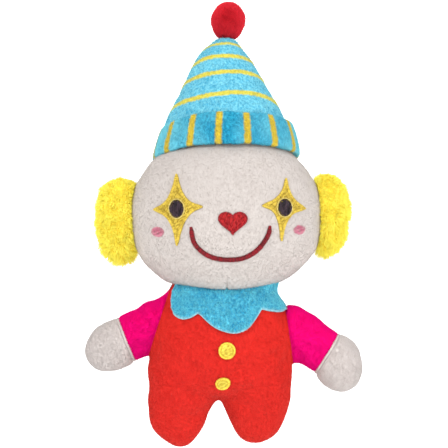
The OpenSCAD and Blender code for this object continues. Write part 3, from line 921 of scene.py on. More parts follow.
for side in ("left", "right"):
    star, pupil = STARS[side], PUPILS[side]
    parts = [backing(head_tree, star, 0.45), filled(head_tree, star, 0.9, base=0.45, seed=3),
             *star_border(head_tree, STAR_SIDES[side], 2.1, 13)]
    stitched(f"eye_star_{side}_stitches", parts, GOLD, [f"eye_star_{side}"])
    parts = [backing(head_tree, pupil, 1.1, 0.5),
             filled(head_tree, pupil, 1.45, base=1.0, rise=0.25, length=9, seed=5)]
    stitched(f"pupil_{side}_stitches", parts, INK, [f"pupil_{side}"])
    ring = satin(head_tree, grown(pupil, 0.35), 0.8, True, base=0.8, rise=0.35, step=0.42, seed=6)
    stitched(f"pupil_{side}_ring", [ring], PALE)
    blush = filled(head_tree, CHEEKS[side], 0.25, step=0.62, length=8, base=0.35, rise=0.45, seed=7)
    stitched(f"cheek_{side}_stitches", [blush], PINK, [f"cheek_{side}"])

parts = [backing(head_tree, NOSE, 0.5),
         filled(head_tree, scaled(NOSE, 0.95), 1.2, base=0.5, length=5, seed=8)]
stitched("nose_heart_stitches", parts, HEART, ["nose_heart"])
rim = satin(head_tree, scaled(NOSE, 0.93), 1.5, True, base=0.3, rise=0.75, step=0.42, seed=9)
stitched("nose_heart_border", [rim], HEART_EDGE)
smile = satin(head_tree, SMILE_PATH, 3.3, False, base=0.35, rise=1.0, radius=0.28, step=0.42, seed=10)
stitched("mouth_smile_stitches", [smile], SMILE, ["mouth_smile"])


# ---- Hat ----

HAT_AT = np.array([-2.0, 6.5, 195.0])  # where the hat's axis starts
HAT_LEAN = math.radians(13)
HAT_H = 80.5
HAT_NAP = {"length": 0.95, "width": 0.25, "swirl": 0.35}
# Height up the hat and how far its axis lies to the puppet's left there
HAT_SWAY = [(0, 0), (40, 0.2), (60, -0.8), (75, -1.3), (82.3, 0.2), (100, 0.2)]
STRIPES = [(32.4, 3.7), (49.9, 3.5), (63.0, 3.3), (74.4, 2.3)]  # height up the cone, thickness
STRIPE_TILT, STRIPE_BOW = 0.075, 0.155
CUFF_H = 21.5
CUFF_R, CUFF_TAPER = 48.6, 4.2  # its half width at the foot, and how much narrower its top is
CUFF_STRIPES = 14
CUFF_STRIPE_W = 4.7
CUFF_FRONT_X = -6.5  # where the middle stripe at the front lies


def hat_points(w, rx, angle, out=0.0):
    """Points round the hat's leaning axis: height w up it, half width rx, angle in radians."""
    ry = rx * (0.79 + 0.21 * w / HAT_H)
    u, v = (rx + out) * np.cos(angle), (ry + out) * np.sin(angle)
    return np.stack([HAT_AT[0] + u + table(HAT_SWAY, w),
                     HAT_AT[1] + v * math.cos(HAT_LEAN) + w * math.sin(HAT_LEAN),
                     HAT_AT[2] + w * math.cos(HAT_LEAN) - v * math.sin(HAT_LEAN)], -1)


# Height up the cone and its half width there
CONE_ROWS = [(12, 43.2), (20, 41.8), (26, 39.6), (31, 37.2), (36.5, 34.4), (42, 31.4), (47.5, 28.8),
             (53, 26.1), (58.6, 23.3), (64, 20.3), (69.6, 16.8), (75.2, 12.2), (78.6, 9.4),
             (80.6, 7.6), (81.7, 5.2), (82.2, 2.4)]
w = np.linspace(13, 82.2, 86)[:, None]
angle = (np.arange(200) * 2 * math.pi / 200)[None, :]
cone = hat_points(w + 0 * angle, table(CONE_ROWS, w[:, 0])[:, None] + 0 * angle, angle + 0 * w)
# The knitted rings tilt up to the puppet's left and bow up at the front
ahead = HAT_AT[1] + w * math.sin(HAT_LEAN) - cone[..., 1]
tilted = w - STRIPE_TILT * (cone[..., 0] - HAT_AT[0]) - STRIPE_BOW * ahead
stripe = np.max([width / 2 - np.abs(tilted - at) for at, width in STRIPES], axis=0)
cone_skin = grid_skin(cone, marks={"stripe": stripe})
n_hat = cone_skin.normals()
hat_lumps = 0.7 * waves(cone_skin.points, 22, 21) + 0.25 * waves(cone_skin.points, 7, 22)
# Each stripe is knitted a little proud
cone_skin.points += n_hat * (hat_lumps + 0.15 * np.clip(cone_skin.marks["stripe"], -1, 1))[:, None]
back_seam = np.exp(-(((cone_skin.points[:, 0] - HAT_AT[0]) / 1.2) ** 2)) * (n_hat[:, 1] > 0.3)
cone_skin.points -= n_hat * (1.2 * back_seam)[:, None]
piece("hat_cone_plush", nap(cone_skin, 31000, 23, **HAT_NAP), CONE,
      ["hat_cone"], body="head")

# The cuff is a band folded up: its section runs up outside, over the fold and down inside
CUFF_SECTION = [(0.3, -2.4), (0.0, -1.0), (0.5, 0.1), (2.5, 0.9), (7, 1.1), (13, 0.8), (18.5, 0.2),
                (20.8, -0.3), (21.7, -1.3), (21.2, -2.4)]
up, out = through(CUFF_SECTION, 40).T[:, :, None]
angle = (np.arange(300) * 2 * math.pi / 300)[None, :]
# The fold hangs lower on the puppet's right
droop = 1.7 * np.cos(angle) - np.cos(angle) ** 2
cuff_w = up + (0.3 * np.sin(3 * angle + 1) + droop)
cuff_r = CUFF_R - CUFF_TAPER * up / CUFF_H
cuff = hat_points(cuff_w, cuff_r + 0 * cuff_w, angle + 0 * cuff_w, out)
cuff[..., 0] += 0.6
ring = cuff[len(cuff) // 2]
arc = run_of(np.vstack([ring, ring[:1]]))
pitch = arc[-1] / CUFF_STRIPES
front_stripe = arc[np.argmin(np.abs(ring[:, 0] - CUFF_FRONT_X) + 100 * (ring[:, 1] > 0))]
phase = (arc[:-1] - front_stripe + pitch / 2) % pitch - pitch / 2
stripe = np.tile(CUFF_STRIPE_W / 2 - np.abs(phase), (len(cuff), 1))
cuff_skin = grid_skin(cuff, marks={"stripe": stripe})
# Painted sheen: both sides of the cuff are painted lighter, as where the pile catches the light at a
# slant
sideways = np.abs(cuff_skin.points[:, 0] - HAT_AT[0] - 3) / 47
turned = 0.85 * sideways**1.6 + 0.22 * waves(cuff_skin.points, 12, 27)
cuff_skin.marks["turn"] = np.clip(turned, 0, 0.85)
cuff_lumps = 0.5 * waves(cuff_skin.points, 20, 24) + 0.2 * waves(cuff_skin.points, 6, 25)
stripe_edge = np.exp(-(np.abs(cuff_skin.marks["stripe"]) / 0.8) ** 2)
cuff_skin.points += cuff_skin.normals() * (cuff_lumps - 0.35 * stripe_edge)[:, None]
piece("hat_cuff_plush", nap(cuff_skin, 33000, 26, thickness=1.2, **HAT_NAP), CUFF,
      ["hat_cuff"], body="head")


def ball(centre, radii, level):
    """A closed ball of even triangles."""
    bm = bmesh.new()
    bmesh.ops.create_icosphere(bm, subdivisions=level, radius=1)
    mesh = bpy.data.meshes.new("ball")
    bm.to_mesh(mesh)
    bm.free()
    skin = skin_from(mesh)
    skin.points = np.array(centre) + skin.points * np.array(radii)
    return skin


POM_R = 12.3  # nominal half width of the pompom
lift = HAT_H + 2.1 + POM_R
pom_at = HAT_AT + [2.0, lift * math.sin(HAT_LEAN), lift * math.cos(HAT_LEAN)]
pom_at[2] += 0.7
pom = ball(pom_at, (POM_R * 0.87, POM_R * 0.87, POM_R * 1.01), 5)
pom_lumps = 0.35 * waves(pom.points, 6, 31) + 0.2 * waves(pom.points, 2.2, 32)
pom.points += pom.normals() * pom_lumps[:, None]
pom_cloth = nap(pom, 30000, 33, thickness=0, tip=0.4, length=1.25, lay=0.3, swirl=0.6)
piece("pompom_pile", pom_cloth, FELT, ["pompom"], body="pompom")


# ---- Hair ----


def locks(skin, count, length, radius, clumps, seed):
    """Curling locks of pile that gather into clumps."""
    rng = np.random.default_rng(seed)
    corners = random_corners(skin, count, rng)
    share = rng.dirichlet((1, 1, 1), count)
    root = np.einsum("nk,nkd->nd", share, skin.points[corners])
    out = unit(np.einsum("nk,nkd->nd", share, skin.normals()[corners]))
    # Each lock leans and curls with the clump whose middle is nearest
    middle = root[rng.choice(count, clumps, replace=False)]
    nearest = np.argmin(np.linalg.norm(root[:, None] - middle[None], axis=2), axis=1)
    towards = middle[nearest] - root
    turn = unit(np.cross(out, towards + 1e-3))
    lean = unit(rng.normal(size=(clumps, 3)))[nearest]
    droop = np.array([0, 0, -0.5])
    size = length * rng.uniform(0.7, 1.15, (count, 1))
    size = size * rng.uniform(0.94, 1.06, clumps)[nearest][:, None]
    spin = rng.choice([-1, 1], clumps)[nearest][:, None]
    n_rings, sides = 3, 3
    path = []
    for t in np.linspace(0, 1, n_rings):
        curl = np.sin(t * math.pi * 0.9)
        bend = t * 0.8 * out + 0.5 * t * t * (lean * 0.4 + droop) + 0.12 * curl * spin * turn
        stray = rng.normal(size=(count, 3)) * 0.35 * t
        path.append(root - 0.6 * out + size * bend + towards * (0.2 * t * t) + stray)
    path = np.stack(path, 1)
    along = unit(np.gradient(path, axis=1))
    side = unit(np.cross(along, out[:, None] + 1e-3))
    taper = np.array([1.0, 0.85, 0.12])[None, :, None]
    thin = radius * rng.uniform(0.7, 1.2, (count, 1, 1)) * taper
    skin = tubes(path, side, np.cross(side, along), thin, sides)
    tone = rng.random(clumps)[nearest] * 0.5 + rng.random(count) * 0.5
    # Painted shade: each lock is darker towards its root
    skin.marks["tip"] = np.tile(np.repeat(np.linspace(0.1, 1.0, n_rings), sides), count)
    skin.marks["shade"] = np.repeat(tone, n_rings * sides)
    return skin


def against_head(skin, side, clear):
    """Moves points that would be in the head out to its side, in place."""
    up = skin.points[:, 2] - HEAD_Z
    tall = np.where(up < 0, CHIN, CROWN)
    power = np.where(up < 0, 2.5, 2.0)
    level = np.clip(1 - np.abs(up / tall) ** power, 0, 1) ** (2 / power)
    level = np.clip(level - (skin.points[:, 1] / HEAD_D) ** 2, 0, 1)
    x = side * (skin.points[:, 0] - HEAD_X)
    skin.points[:, 0] = HEAD_X + side * np.maximum(x, HEAD_W * np.sqrt(level) + clear)


def hair_puff(side, node, body, centre, radii, powers, seed):
    """A puff whose inner side lies against the head, lumpy under its locks.

    Powers shape its upper and lower halves: 2 is round, more is squarer and less is slimmer.
    """
    core = ball((0, 0, 0), (1, 1, 1), 4)
    up = np.minimum(np.abs(core.points[:, 2]), 0.999)
    power = np.where(core.points[:, 2] > 0, *powers)
    across = (1 - up**power) ** (1 / power) / np.sqrt(1 - up**2)
    core.points[:, :2] *= np.clip(across, 0.6, 1.5)[:, None]
    core.points = np.array(centre) + core.points * np.array(radii)
    core.points += core.normals() * (1.1 * waves(core.points, 7, seed))[:, None]
    against_head(core, side, 1.0)
    strands = locks(core, 12800, 4.6, 0.28, 240, seed + 1)
    against_head(strands, side, 0.6)
    # The core under the locks is painted dark, as painted shade between them
    puff = joined([plain_marks(core, 0.1), strands])
    piece(f"{node}_pile", puff, PILE, [node], body=body)


hair_puff(1, "hair_left", "left_hair", (66.2, 4, 156.1), (13.9, 15, 26), (2.3, 1.75), 41)
hair_puff(-1, "hair_right", "right_hair", (-71.9, 4, 151.7), (15.6, 15, 26.8), (2.7, 2.0), 43)


# ---- Body, arms and legs: one stuffed form, cut at its seams ----


TORSO_POWER = 2.3  # how square the rings of the body are: 2 is an ellipse
ARM_POWER = 2.2


def superellipse(turns, power):
    """Cosine and sine of the turns, for a ring that is squarer than an ellipse."""
    return (np.sign(v) * np.abs(v) ** (2 / power) for v in (np.cos(turns), np.sin(turns)))


def loft(rows, count=48):
    """A closed form through level rings: height, left edge, right edge, half depth."""
    rows = np.array(sorted(rows), float)
    at = np.arange(rows[0, 0], rows[-1, 0] + 0.01, 1.5)
    values = table(rows, at)
    round_x, round_y = superellipse(np.arange(count) * 2 * math.pi / count, TORSO_POWER)
    left, right, deep = values.T[:, :, None]
    x = (left + right) / 2 + (right - left) / 2 * round_x
    y = deep * round_y
    return capped(np.stack([x, y, at[:, None] + 0 * x], -1))


def capped(grid):
    rows, cols = grid.shape[:2]
    faces = list(quads(rows, cols)) + [np.arange(cols)[::-1], np.arange(cols) + (rows - 1) * cols]
    return polygons_skin(grid.reshape(-1, 3), faces)


TORSO = [(118, -37.5, 32.5, 16), (111.6, -39.3, 33, 16.5), (108, -40.9, 32.6, 17),
         (104, -42.8, 32.6, 18.5), (100, -44.4, 34.8, 21), (94, -47, 38.6, 24.5), (88, -49, 41.2, 27.2),
         (80, -50.9, 43.2, 29), (70, -52.8, 44.2, 30.2), (61.5, -53.6, 44.2, 30.4),
         (55, -54.4, 44.6, 30), (46, -54.4, 44.4, 29), (40, -53.6, 44, 27), (34.5, -51, 42, 21)]
RIGHT_LEG = [(46, -53.4, -7, 25), (40, -53.6, -6.5, 25), (33.4, -54, -6.5, 23.8),
             (30, -54.6, -8.2, 22.8), (26.2, -54.2, -11.2, 21.6), (21.5, -53.6, -13.9, 20),
             (14.6, -51.9, -16.7, 17.6), (9, -49.2, -19.2, 15.6), (4.4, -44.4, -22.2, 12.8),
             (1.4, -39.8, -25, 10), (-0.9, -36, -28, 7)]
LEFT_LEG = [(46, -4, 44, 25), (40, -4.6, 43.8, 25), (33.4, -4.8, 43.4, 23.8), (30, -4, 42.8, 22.8),
            (26.6, -2.2, 41.7, 21.7), (20.2, 0.6, 39.6, 19.6), (15, 2.4, 37, 17.4),
            (9.4, 5.4, 33.8, 14.8), (6, 8.4, 30.4, 12.2), (3.6, 11.6, 26.6, 9.4), (2.2, 15, 22.4, 6.8)]
# Rings of each arm in the front view: its top and bottom points, and its half depth
LEFT_ARM = [((30, 93.6), (34, 58), 15.5), ((39.4, 96.6), (44, 56), 17.2), ((51.4, 94.2), (51.5, 54), 17),
            ((63.4, 86), (57.5, 51.6), 15.6), ((75.6, 77), (60.3, 51), 13.8),
            ((82.6, 73.6), (63.6, 44.6), 14), ((88.8, 67.2), (70.6, 38.4), 12.8),
            ((92.4, 57), (79.8, 36), 9.6), ((93.4, 50), (88.6, 40.2), 4.8)]
RIGHT_ARM = [((-32, 100), (-42, 64), 15.5), ((-42, 103), (-53.4, 62), 17.2),
             ((-53.4, 99.2), (-56.8, 61), 17), ((-64.6, 93.6), (-60.4, 59.4), 15.8),
             ((-75.4, 88.2), (-63.8, 58.4), 13.8), ((-84, 85), (-70.4, 54), 14.2),
             ((-91.8, 80), (-78.8, 51.2), 12.8), ((-97, 72.2), (-88.6, 51.8), 9.6),
             ((-98.6, 65.4), (-95.4, 56.6), 4.8)]


def arm_form(rings):
    """A closed form through an arm's rings."""
    tops, bottoms, deep = (through([r[k] for r in rings], 46) for k in range(3))
    turns = np.arange(40) * 2 * math.pi / 40
    c, s = superellipse(-turns if tops[-1, 0] < 0 else turns, ARM_POWER)
    centre, half = (tops + bottoms) / 2, (tops - bottoms) / 2
    xz = centre[:, None] + half[:, None] * c[None, :, None]
    y = deep[:, None] * s[None, :]
    return capped(np.stack([xz[..., 0], y, xz[..., 1]], -1))


def plane_through(a, b, outward):
    """A plane through two points of the front view, along y, with its normal on the given side."""
    d = unit(np.array([b[0] - a[0], 0, b[1] - a[1]], float))
    normal = np.array([d[2], 0, -d[0]])
    return np.array([a[0], 0, a[1]], float), normal * (1 if normal[0] * outward > 0 else -1)


blocks = (loft(TORSO, 72), loft(RIGHT_LEG), loft(LEFT_LEG), arm_form(LEFT_ARM), arm_form(RIGHT_ARM))
for block in blocks:
    # Remeshing and smoothing take this much off
    block.points = block.points + 0.4 * block.normals()
form = smoothed(remeshed(joined(blocks), 2.4), 2)
form = subdivided(stuffed(form, pressure=3.0, cap=2.2))

LEG_TOP = 42.0
LEG_BLEND = 27.0  # height given with each leg as the lower end of its blend
CROTCH_X = -5.6
NECK_LEVELS = (98.5, 103.0, 107.2, 111.4)
SEAMS = {
    "left": {"armhole": plane_through((38.5, 94), (44, 55.6), 1),
             "root": plane_through((49, 92), (51, 54), 1),
             "wrist": plane_through((74.5, 74.8), (59.7, 50.5), 1)},
    "right": {"armhole": plane_through((-41, 100), (-53.5, 61.5), -1),
              "root": plane_through((-51, 95.6), (-56.3, 60.5), -1),
              "wrist": plane_through((-74.3, 85.6), (-63.4, 58.4), -1)},
}
# Lowest points of each sleeve's root and wrist
SLEEVE_BEND = {"left": ((51, 54), (59.7, 50.5)), "right": ((-56.3, 60.5), (-63.4, 58.4))}
pts = form.points
n_form = form.normals()
shift = 0.55 * waves(pts, 24, 51) + 0.3 * waves(pts, 9, 52)
for side, sign in (("left", 1), ("right", -1)):
    for seam, depth in (("armhole", 1.5), ("wrist", 1.1)):
        point, normal = SEAMS[side][seam]
        far = (pts - point) @ normal
        near_arm = (sign * pts[:, 0] > 30) & (pts[:, 2] > 36)
        shift -= depth * np.exp(-((far / 1.5) ** 2)) * near_arm
# Tension folds that run from the armholes and the crotch
for x, z, reach in ((41, 72, 16), (-46, 78, 16), (CROTCH_X, 34, 22)):
    d = pts - np.array([x, 0, z])
    around = np.arctan2(d[:, 2], d[:, 0])
    distance = np.hypot(d[:, 0], d[:, 2])
    shift += 0.55 * np.sin(around * 9 + 0.1 * distance) * np.exp(-(((distance - reach) / 9) ** 2))
form.points = pts + n_form * shift[:, None]

above, _ = form.split((0, 0, NECK_LEVELS[3]), (0, 0, -1))
arms = {}
for side in ("left", "right"):
    arms[side], above = above.split(*SEAMS[side]["armhole"])
torso, legs = above.split((0, 0, LEG_TOP), (0, 0, 1))
neck_rings = []
for level in NECK_LEVELS[2::-1]:
    ring, torso = torso.split((0, 0, level), (0, 0, 1))
    neck_rings.insert(0, ring)
leg_left, leg_right = legs.split((CROTCH_X, 0, 0), (1, 0, 0))

BUTTONS = {"upper": oval((-0.7, 65.4), 5.5, 5.5), "lower": oval((-3.4, 43.8), 5.0, 3.8, 12)}

# Hand opening: an arch in the middle of the back, and its height, half width and middle
SEAT_Z, ARCH_H, ARCH_W, BACK_X = 46.0, 26.0, 38.0, -4.6


def arch_z(x):
    share = np.clip(1 - ((x - BACK_X) / ARCH_W) ** 2, 0, 1)
    return SEAT_Z + ARCH_H * share**0.55


centres = torso.centres()
opening = (centres[:, 1] > 4) & (np.abs(centres[:, 0] - BACK_X) < ARCH_W)
opening &= (centres[:, 2] > SEAT_Z) & (centres[:, 2] < arch_z(centres[:, 0]))
back_tree, form_tree = torso.tree(), form.tree()
torso = torso.kept(~opening)


def outside_collar(root):
    """The collar lies flat on bare cloth, except where it leaves the right shoulder open."""
    return (root[:, 2] < 98) | (root[:, 0] < -33)


def chest_pile(root):
    """No pile under the buttons and the collar."""
    keep = outside_collar(root)
    for outline in BUTTONS.values():
        keep &= ~((root[:, 1] < 0) & inside(root[:, [0, 2]], grown(outline, 0.3)))
    return keep


front_torso, back_torso = torso.split((0, 0.5, 0), (0, -1, 0))
piece("body_front_plush", nap(front_torso, 40000, 61, where=chest_pile), RED,
      ["body_front"], body="torso")
piece("body_back_plush", nap(back_torso, 34000, 62, where=outside_collar), RED,
      ["body_back", "body_seat"], body="torso")
# Each ring of the neck is given the bodies below and above it, and stays where it is
neck_bodies = ("torso", "neck_band", "neck_tube", "head")
neck_nodes = {"neck_band_plush": ["neck_band"], "neck_tube_plush": ["neck_tube"], "neck_edge_plush": []}
for k, (name, nodes) in enumerate(neck_nodes.items()):
    bend = (*neck_bodies[k:k + 2], (0, 0, NECK_LEVELS[k]), (0, 0, NECK_LEVELS[k + 1]))
    piece(name, nap(neck_rings[k], 7000, 63 + k, length=0.5), RED, nodes, blend=bend)


def inner_wall(skin, shift):
    """Cloth across a leg's open side in the crotch, so that the leg stays closed when it swings."""
    edge = skin.points[np.abs(skin.points[:, 0] - CROTCH_X) < 0.02]
    edge = edge[np.argsort(np.arctan2(edge[:, 2] - LEG_TOP - 1, edge[:, 1]))]
    middle = np.array([CROTCH_X, 0, LEG_TOP - 1.5])
    rings = [middle + share * (edge - middle) + [shift, 0, 0] for share in (0.98, 0.7, 0.4, 0.05)]
    wall = grid_skin(np.stack(rings), closed=False)
    if (wall.normals()[:, 0].mean() > 0) == (shift > 0):
        wall.loops = wall.loops.reshape(-1, 4)[:, ::-1].ravel()
    return thick(plain_marks(wall, 0.5), 0.6)


for side, skin, inward in (("left", leg_left, 0.2), ("right", leg_right, -0.2)):
    where = chest_pile if side == "right" else None
    cloth = joined([nap(skin, 33000, 66 + len(side), where=where), inner_wall(skin, inward)])
    bend = ("torso", f"{side}_leg", (0, 0, LEG_TOP), (0, 0, LEG_BLEND))
    obj = piece(f"leg_{side}_plush", cloth, RED, [f"leg_{side}"], blend=bend)

wrist_edges, sleeve_bends = {}, {}
for side, sign in (("left", 1), ("right", -1)):
    cut = SEAMS[side]
    rest, root = arms[side].split(*cut["root"])
    mitt, sleeve = rest.split(*cut["wrist"])
    point, normal = cut["wrist"]
    wrist_edges[side] = mitt.points[np.abs((mitt.points - point) @ normal) < 0.02]
    seam_at, normal = cut["armhole"]
    reach = float((cut["root"][0] - seam_at) @ normal)
    bend = ("torso", f"{side}_shoulder", tuple(seam_at + normal * 0.2),
            tuple(seam_at + normal * (reach + 1)))
    piece(f"shoulder_seam_{side}_plush", nap(root, 12000, 71 + sign), MAGENTA,
          [f"shoulder_seam_{side}"], blend=bend)
    # The sleeve is given the lowest points of its root and of its wrist, down the arm, and stays where
    # it is
    low_root, low_wrist = (np.array([x, 0, z]) for x, z in SLEEVE_BEND[side])
    down_arm = unit([sign * 0.95, 0, -0.25])
    low_end = low_root + ((low_wrist - low_root) @ down_arm) * down_arm
    sleeve_bends[side] = (f"{side}_shoulder", f"{side}_arm", tuple(low_root), tuple(low_end))
    piece(f"sleeve_{side}_plush", nap(sleeve, 20000, 75 + sign), MAGENTA,
          [f"sleeve_{side}"], blend=sleeve_bends[side])
    mitt_cloth = nap(mitt, 22000, 79 + sign, swirl=0.4, lean=(sign, 0, -0.5))
    hand = piece(f"hand_{side}_plush", mitt_cloth, LIT_HAND_PLUSH, [f"hand_{side}"],
                 body=f"{side}_arm")


# ---- Cords sewn along seams ----


def on_skin(tree, points, off=0.0):
    """Nearest places on a skin, off outside it, and its normals there."""
    found, normals = np.empty_like(points), np.empty_like(points)
    for i, p in enumerate(points):
        hit, normal = tree.find_nearest(Vector(p))[:2]
        found[i] = hit + normal * off
        normals[i] = normal
    return found, normals


def closed_cord(path, radius, lumps, seed):
    """A round cord along a closed path."""
    sides = 10
    n = len(path)
    along = unit(np.roll(path, -1, axis=0) - np.roll(path, 1, axis=0))
    middle = path.mean(0)
    up = unit(np.cross(along, path - middle))
    out = np.cross(up, along)
    r = radius * (1 + lumps * waves(path, 3.5, seed))[:, None]
    grid = np.stack([path + r * (math.cos(t) * out + math.sin(t) * up)
                     for t in np.arange(sides) * 2 * math.pi / sides], 1)
    grid = np.vstack([grid, grid[:1]])
    faces = quads(n + 1, sides) % (n * sides)
    return Skin(grid[:-1].reshape(-1, 3), faces.ravel(), np.arange(len(faces)) * 4)


for side, edge in wrist_edges.items():
    middle = edge.mean(0)
    edge = edge[np.argsort(np.arctan2(edge[:, 2] - middle[2], edge[:, 1]))]
    path, _ = on_skin(form_tree, spaced(edge, 1.0), 0.3)
    cord = outward(closed_cord(evened(path, 2), 0.75, lumps=0.1, seed=81))
    cord = nap(cord, 2600, 82, thickness=0, tip=0.6, length=0.7, width=0.15, lay=0.3, swirl=0.8)
    piece(f"wrist_piping_{side}_cord", cord, LIT_HAND_PLUSH,
          [f"wrist_piping_{side}"], body=f"{side}_arm")

# The hem follows the arch and the sill, seen from behind the back, where it meets the cloth
BEHIND = 60.0
arch_x = BACK_X + ARCH_W * np.cos(np.linspace(0.06, math.pi - 0.06, 70))
sill_x = np.linspace(arch_x[-1], arch_x[0], 60)[1:-1]
rim_x = np.concatenate([arch_x, sill_x])
rim_z = np.concatenate([arch_z(arch_x), np.full(len(sill_x), SEAT_Z)])
rim = spaced(np.stack([rim_x, np.full(len(rim_x), BEHIND), rim_z], 1), 1.4)
hem = np.array([back_tree.ray_cast(Vector(p), Vector((0, -1, 0)))[0] for p in rim])
hem[:, 1] -= CLOTH / 2
cord = outward(closed_cord(evened(hem, 3), 1.7, lumps=0.08, seed=83))
piece("opening_hem_plush", nap(cord, 9000, 84, thickness=0, length=0.9, swirl=0.6), RED,
      ["opening_hem"], body="torso")


# ---- Buttons stitched on the chest ----

for name, outline in BUTTONS.items():
    base = backing(form_tree, outline, 1.3, 1.6)
    border = satin(form_tree, grown(outline, -0.6), 1.7, True, base=0.6, rise=0.9, seed=91)
    piece(f"button_{name}_border", joined([base, border]), BUTTON,
          [f"button_{name}"], body="torso")
    fill = filled(form_tree, grown(outline, -1.2), 0.4, base=1.25, rise=0.4, seed=92, length=9)
    piece(f"button_{name}_fill", fill, BUTTON_FILL, body="torso")


# ---- Collar: a thin scalloped sheet over the shoulders ----

# Scallops round the neck, in degrees from the front towards the puppet's left: start, end,
# height of the notch at each, drop of the scallop between them, and how pointed it is
SCALLOPS = [(-56, -18, 104, 90.2, 9.6, 0.75), (-18, 33, 90.2, 92.6, 14.6, 1.25),
            (33, 88, 92.6, 96, 3.4, 0.8), (88, 146, 96, 95, 8.0, 0.8),
            (146, 203, 95, 95, 10.5, 0.9), (203, 244, 95, 105, 7.6, 0.8)]


def collar_edge(degrees):
    z = np.full(len(degrees), 110.3)
    for start, end, z0, z1, drop, point in SCALLOPS:
        u = (degrees - start) / (end - start)
        on = (u >= 0) & (u <= 1)
        z[on] = (z0 + (z1 - z0) * u[on]) - drop * np.sin(math.pi * u[on]) ** point
    return z


COLLAR_ROWS, COLLAR_COLS = 26, 420
COLLAR_OFF = 1.6  # how far its foot lies off the shoulders
COLLAR_FLARE = 0.8  # and how much further its edge may stand off
theta = np.linspace(-90, 270, COLLAR_COLS, endpoint=False)
edge = evened(collar_edge(theta))
t = np.linspace(1, 0, COLLAR_ROWS)[:, None]
rad = np.radians(theta)[None, :]
collar_top = 109.8 + 1.6 * np.sin(rad) ** 2
z = collar_top + (edge[None, :] - collar_top) * t
left, right, deep = np.moveaxis(table(TORSO, z), -1, 0)
round_y, round_x = superellipse(rad, TORSO_POWER)
x = (left + right) / 2 + (right - left) / 2 * round_x
collar = np.stack([x, -deep * round_y, z], -1).reshape(-1, 3)
seat, out = on_skin(form_tree, collar)
flare = COLLAR_OFF + COLLAR_FLARE * (t * (0.6 + 0.4 * np.sin(rad * 6 + 0.8))) + 0 * z
collar = seat + out * flare.ravel()[:, None]
collar[:, 2] = z.ravel() * 0.7 + collar[:, 2] * 0.3
from_edge = (1 - t) * (collar_top - edge[None, :])
grid = collar.reshape(COLLAR_ROWS, COLLAR_COLS, 3)
collar_skin = outward(grid_skin(grid, marks={"stripe": 1.0 - from_edge}))
collar_skin.points = evened(grid, 2, axis=1).reshape(-1, 3)
collar_skin.points += collar_skin.normals() * (0.25 * waves(collar_skin.points, 8, 101))[:, None]
# The collar is open over the right shoulder
start, end = SCALLOPS[0][0], SCALLOPS[-1][1]
covered = (theta >= start) & (theta <= end)
covered &= np.roll(covered, -1)
collar_skin = collar_skin.kept(np.tile(covered, COLLAR_ROWS - 1))
tufts = pile(collar_skin, 36000, 102, length=1.15, width=0.2, lay=0.45, swirl=0.8)
# The pile is a piece of its own, because the sheet's area is measured
collar_cloth = thick(plain_marks(collar_skin, 0.5), 0.9)
collar_obj = piece("collar_cloth", collar_cloth, COLLAR, ["collar"], body="torso")
collar_nap = piece("collar_pile", tufts, COLLAR, body="torso")


# ---- Inside: lining, filling and finger pockets ----


def copy_of(node):
    """The CAD node's own form."""
    skin = skin_from(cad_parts[node].data.copy())
    skin.points = (skin.points - ORIGIN) / MM
    return skin


def filling_piece(node, body, voxel=2.2, lumps=0.35):
    """Loose filling in the form of a CAD node, uneven like wadding."""
    skin = subdivided(smoothed(remeshed(copy_of(node), voxel), 6))
    shape = lumps * (waves(skin.points, 7, 111) + 0.6 * waves(skin.points, 2.5, 112)) - 0.5
    skin.points += skin.normals() * shape[:, None]
    piece(f"{node}_wadding", skin, FIBRE, [node], body=body)


def pocket_piece(node, body=None, blend=None):
    """A thin sewn pocket in the form of a CAD node."""
    piece(f"{node}_cloth", subdivided(copy_of(node), 2), LINING, [node], body=body,
          blend=blend)


filling_piece("head_stuffing", "head")
filling_piece("hat_stuffing", "head")
pocket_piece("head_finger_pocket", "head")
for side in ("left", "right"):
    filling_piece(f"hand_stuffing_{side}", f"{side}_arm", 1.4, 0.25)
    filling_piece(f"leg_stuffing_{side}", f"{side}_leg", 1.6, 0.25)
    pocket_piece(f"finger_pocket_{side}", blend=sleeve_bends[side])
for half, skin in (("front", front_torso), ("back", back_torso)):
    lining = Skin(skin.points - 2.3 * skin.normals(), skin.loops, skin.starts)
    middle = lining.centres()
    lining = lining.kept((middle[:, 2] > LEG_TOP + 2) & (middle[:, 2] < NECK_LEVELS[0] - 2))
    piece(f"lining_{half}_cloth", thick(lining, 0.7), LINING, [f"lining_{half}"],
          body="torso")
base = subdivided(copy_of("body_base"), 1)
base_mid = base.points.mean(0)
base.points = base_mid + (base.points - base_mid) * np.array([0.965, 0.965, 1])
base = subdivided(base, 1)
piece("body_base_cloth", plain_marks(base, 0.4), RED, ["body_base"], body="torso")


# ---- Camera, light and floor ----

scene = bpy.context.scene
LENS, SENSOR = 250.0, 36.0
VIEW_W = 0.302  # width of the view at the puppet
VIEW_X, VIEW_Z = -2.7, 149.6  # where the camera looks
distance = VIEW_W * LENS / SENSOR
camera = bpy.data.objects.new("camera", bpy.data.cameras.new("camera"))
camera.data.lens, camera.data.sensor_width = LENS, SENSOR
camera.location = here(VIEW_X, 0, VIEW_Z) + Vector((0, -distance, 0))
camera.rotation_euler = (math.pi / 2, 0, 0)
scene.collection.objects.link(camera)
scene.camera = camera
scene.view_settings.view_transform = "Standard"

FLOOR_R, DOME_R = 6.0, 6.5
FLOOR_Z = -0.4  # just under the pile of the lower foot


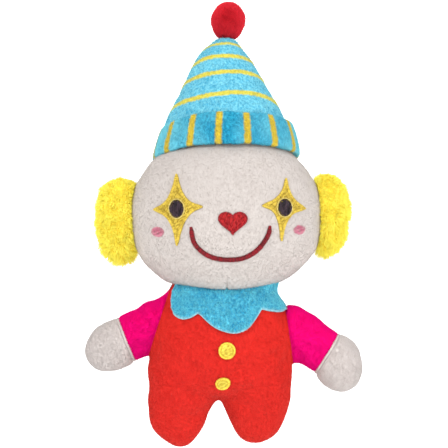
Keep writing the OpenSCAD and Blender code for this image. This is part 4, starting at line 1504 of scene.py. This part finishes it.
def stage_ball(name, radius, scale_z, material):
    bm = bmesh.new()
    bmesh.ops.create_uvsphere(bm, u_segments=64, v_segments=32, radius=radius)
    bmesh.ops.scale(bm, vec=(1, 1, scale_z), verts=bm.verts)
    bmesh.ops.translate(bm, vec=here(0, 0, FLOOR_Z), verts=bm.verts)
    mesh = bpy.data.meshes.new(name)
    bm.to_mesh(mesh)
    bm.free()
    mesh.materials.append(material)
    obj = bpy.data.objects.new(name, mesh)
    scene.collection.objects.link(obj)
    return obj


def studio_paper(name, glow):
    paper = Nodes(name)
    tone = paper.ranged(paper.noise(6, 2), 0, 1)
    colour = paper.mix(tone, (0.88, 0.88, 0.88, 1), (0.93, 0.93, 0.93, 1))
    paper.finish(colour, rough=0.9, sheen=0.0, specular=0.05)
    paper.shader.inputs["Emission Color"].default_value = (1, 1, 1, 1)
    paper.shader.inputs["Emission Strength"].default_value = glow
    return paper.material


# A pale floor, and round it a white dome that only the camera sees
stage_ball("studio_floor", FLOOR_R, 0.0, studio_paper("floor_paper", 0.35))
dome = stage_ball("studio_dome", DOME_R, 1.0, studio_paper("dome_paper", 1.0))
dome.visible_diffuse = dome.visible_glossy = dome.visible_shadow = False
dome.visible_transmission = dome.visible_volume_scatter = False

world = bpy.data.worlds.new("studio")
scene.world = world
world.use_nodes = True
world.node_tree.nodes["Background"].inputs["Color"].default_value = (1, 1, 1, 1)
world.node_tree.nodes["Background"].inputs["Strength"].default_value = 0.62


def soft_light(name, place, aim, size, power):
    light = bpy.data.lights.new(name, "AREA")
    light.shape, light.size, light.energy = "DISK", size, power
    obj = bpy.data.objects.new(name, light)
    obj.location = place
    obj.rotation_euler = (Vector(aim) - Vector(place)).to_track_quat("-Z", "Y").to_euler()
    scene.collection.objects.link(obj)


# Where each light stands from the puppet's middle, its width and its power
LIGHTS = {"key": ((-0.55, -0.95, 0.75), 0.6, 7.5), "fill": ((0.95, -0.85, 0.15), 0.8, 6),
          "top": ((0.1, 0.2, 1.2), 0.7, 3), "back": ((-0.3, 1.2, 0.6), 0.9, 6)}
middle = here(0, 0, 140)
for name, (stand, size, power) in LIGHTS.items():
    soft_light(name, middle + Vector(stand), middle, size, power)
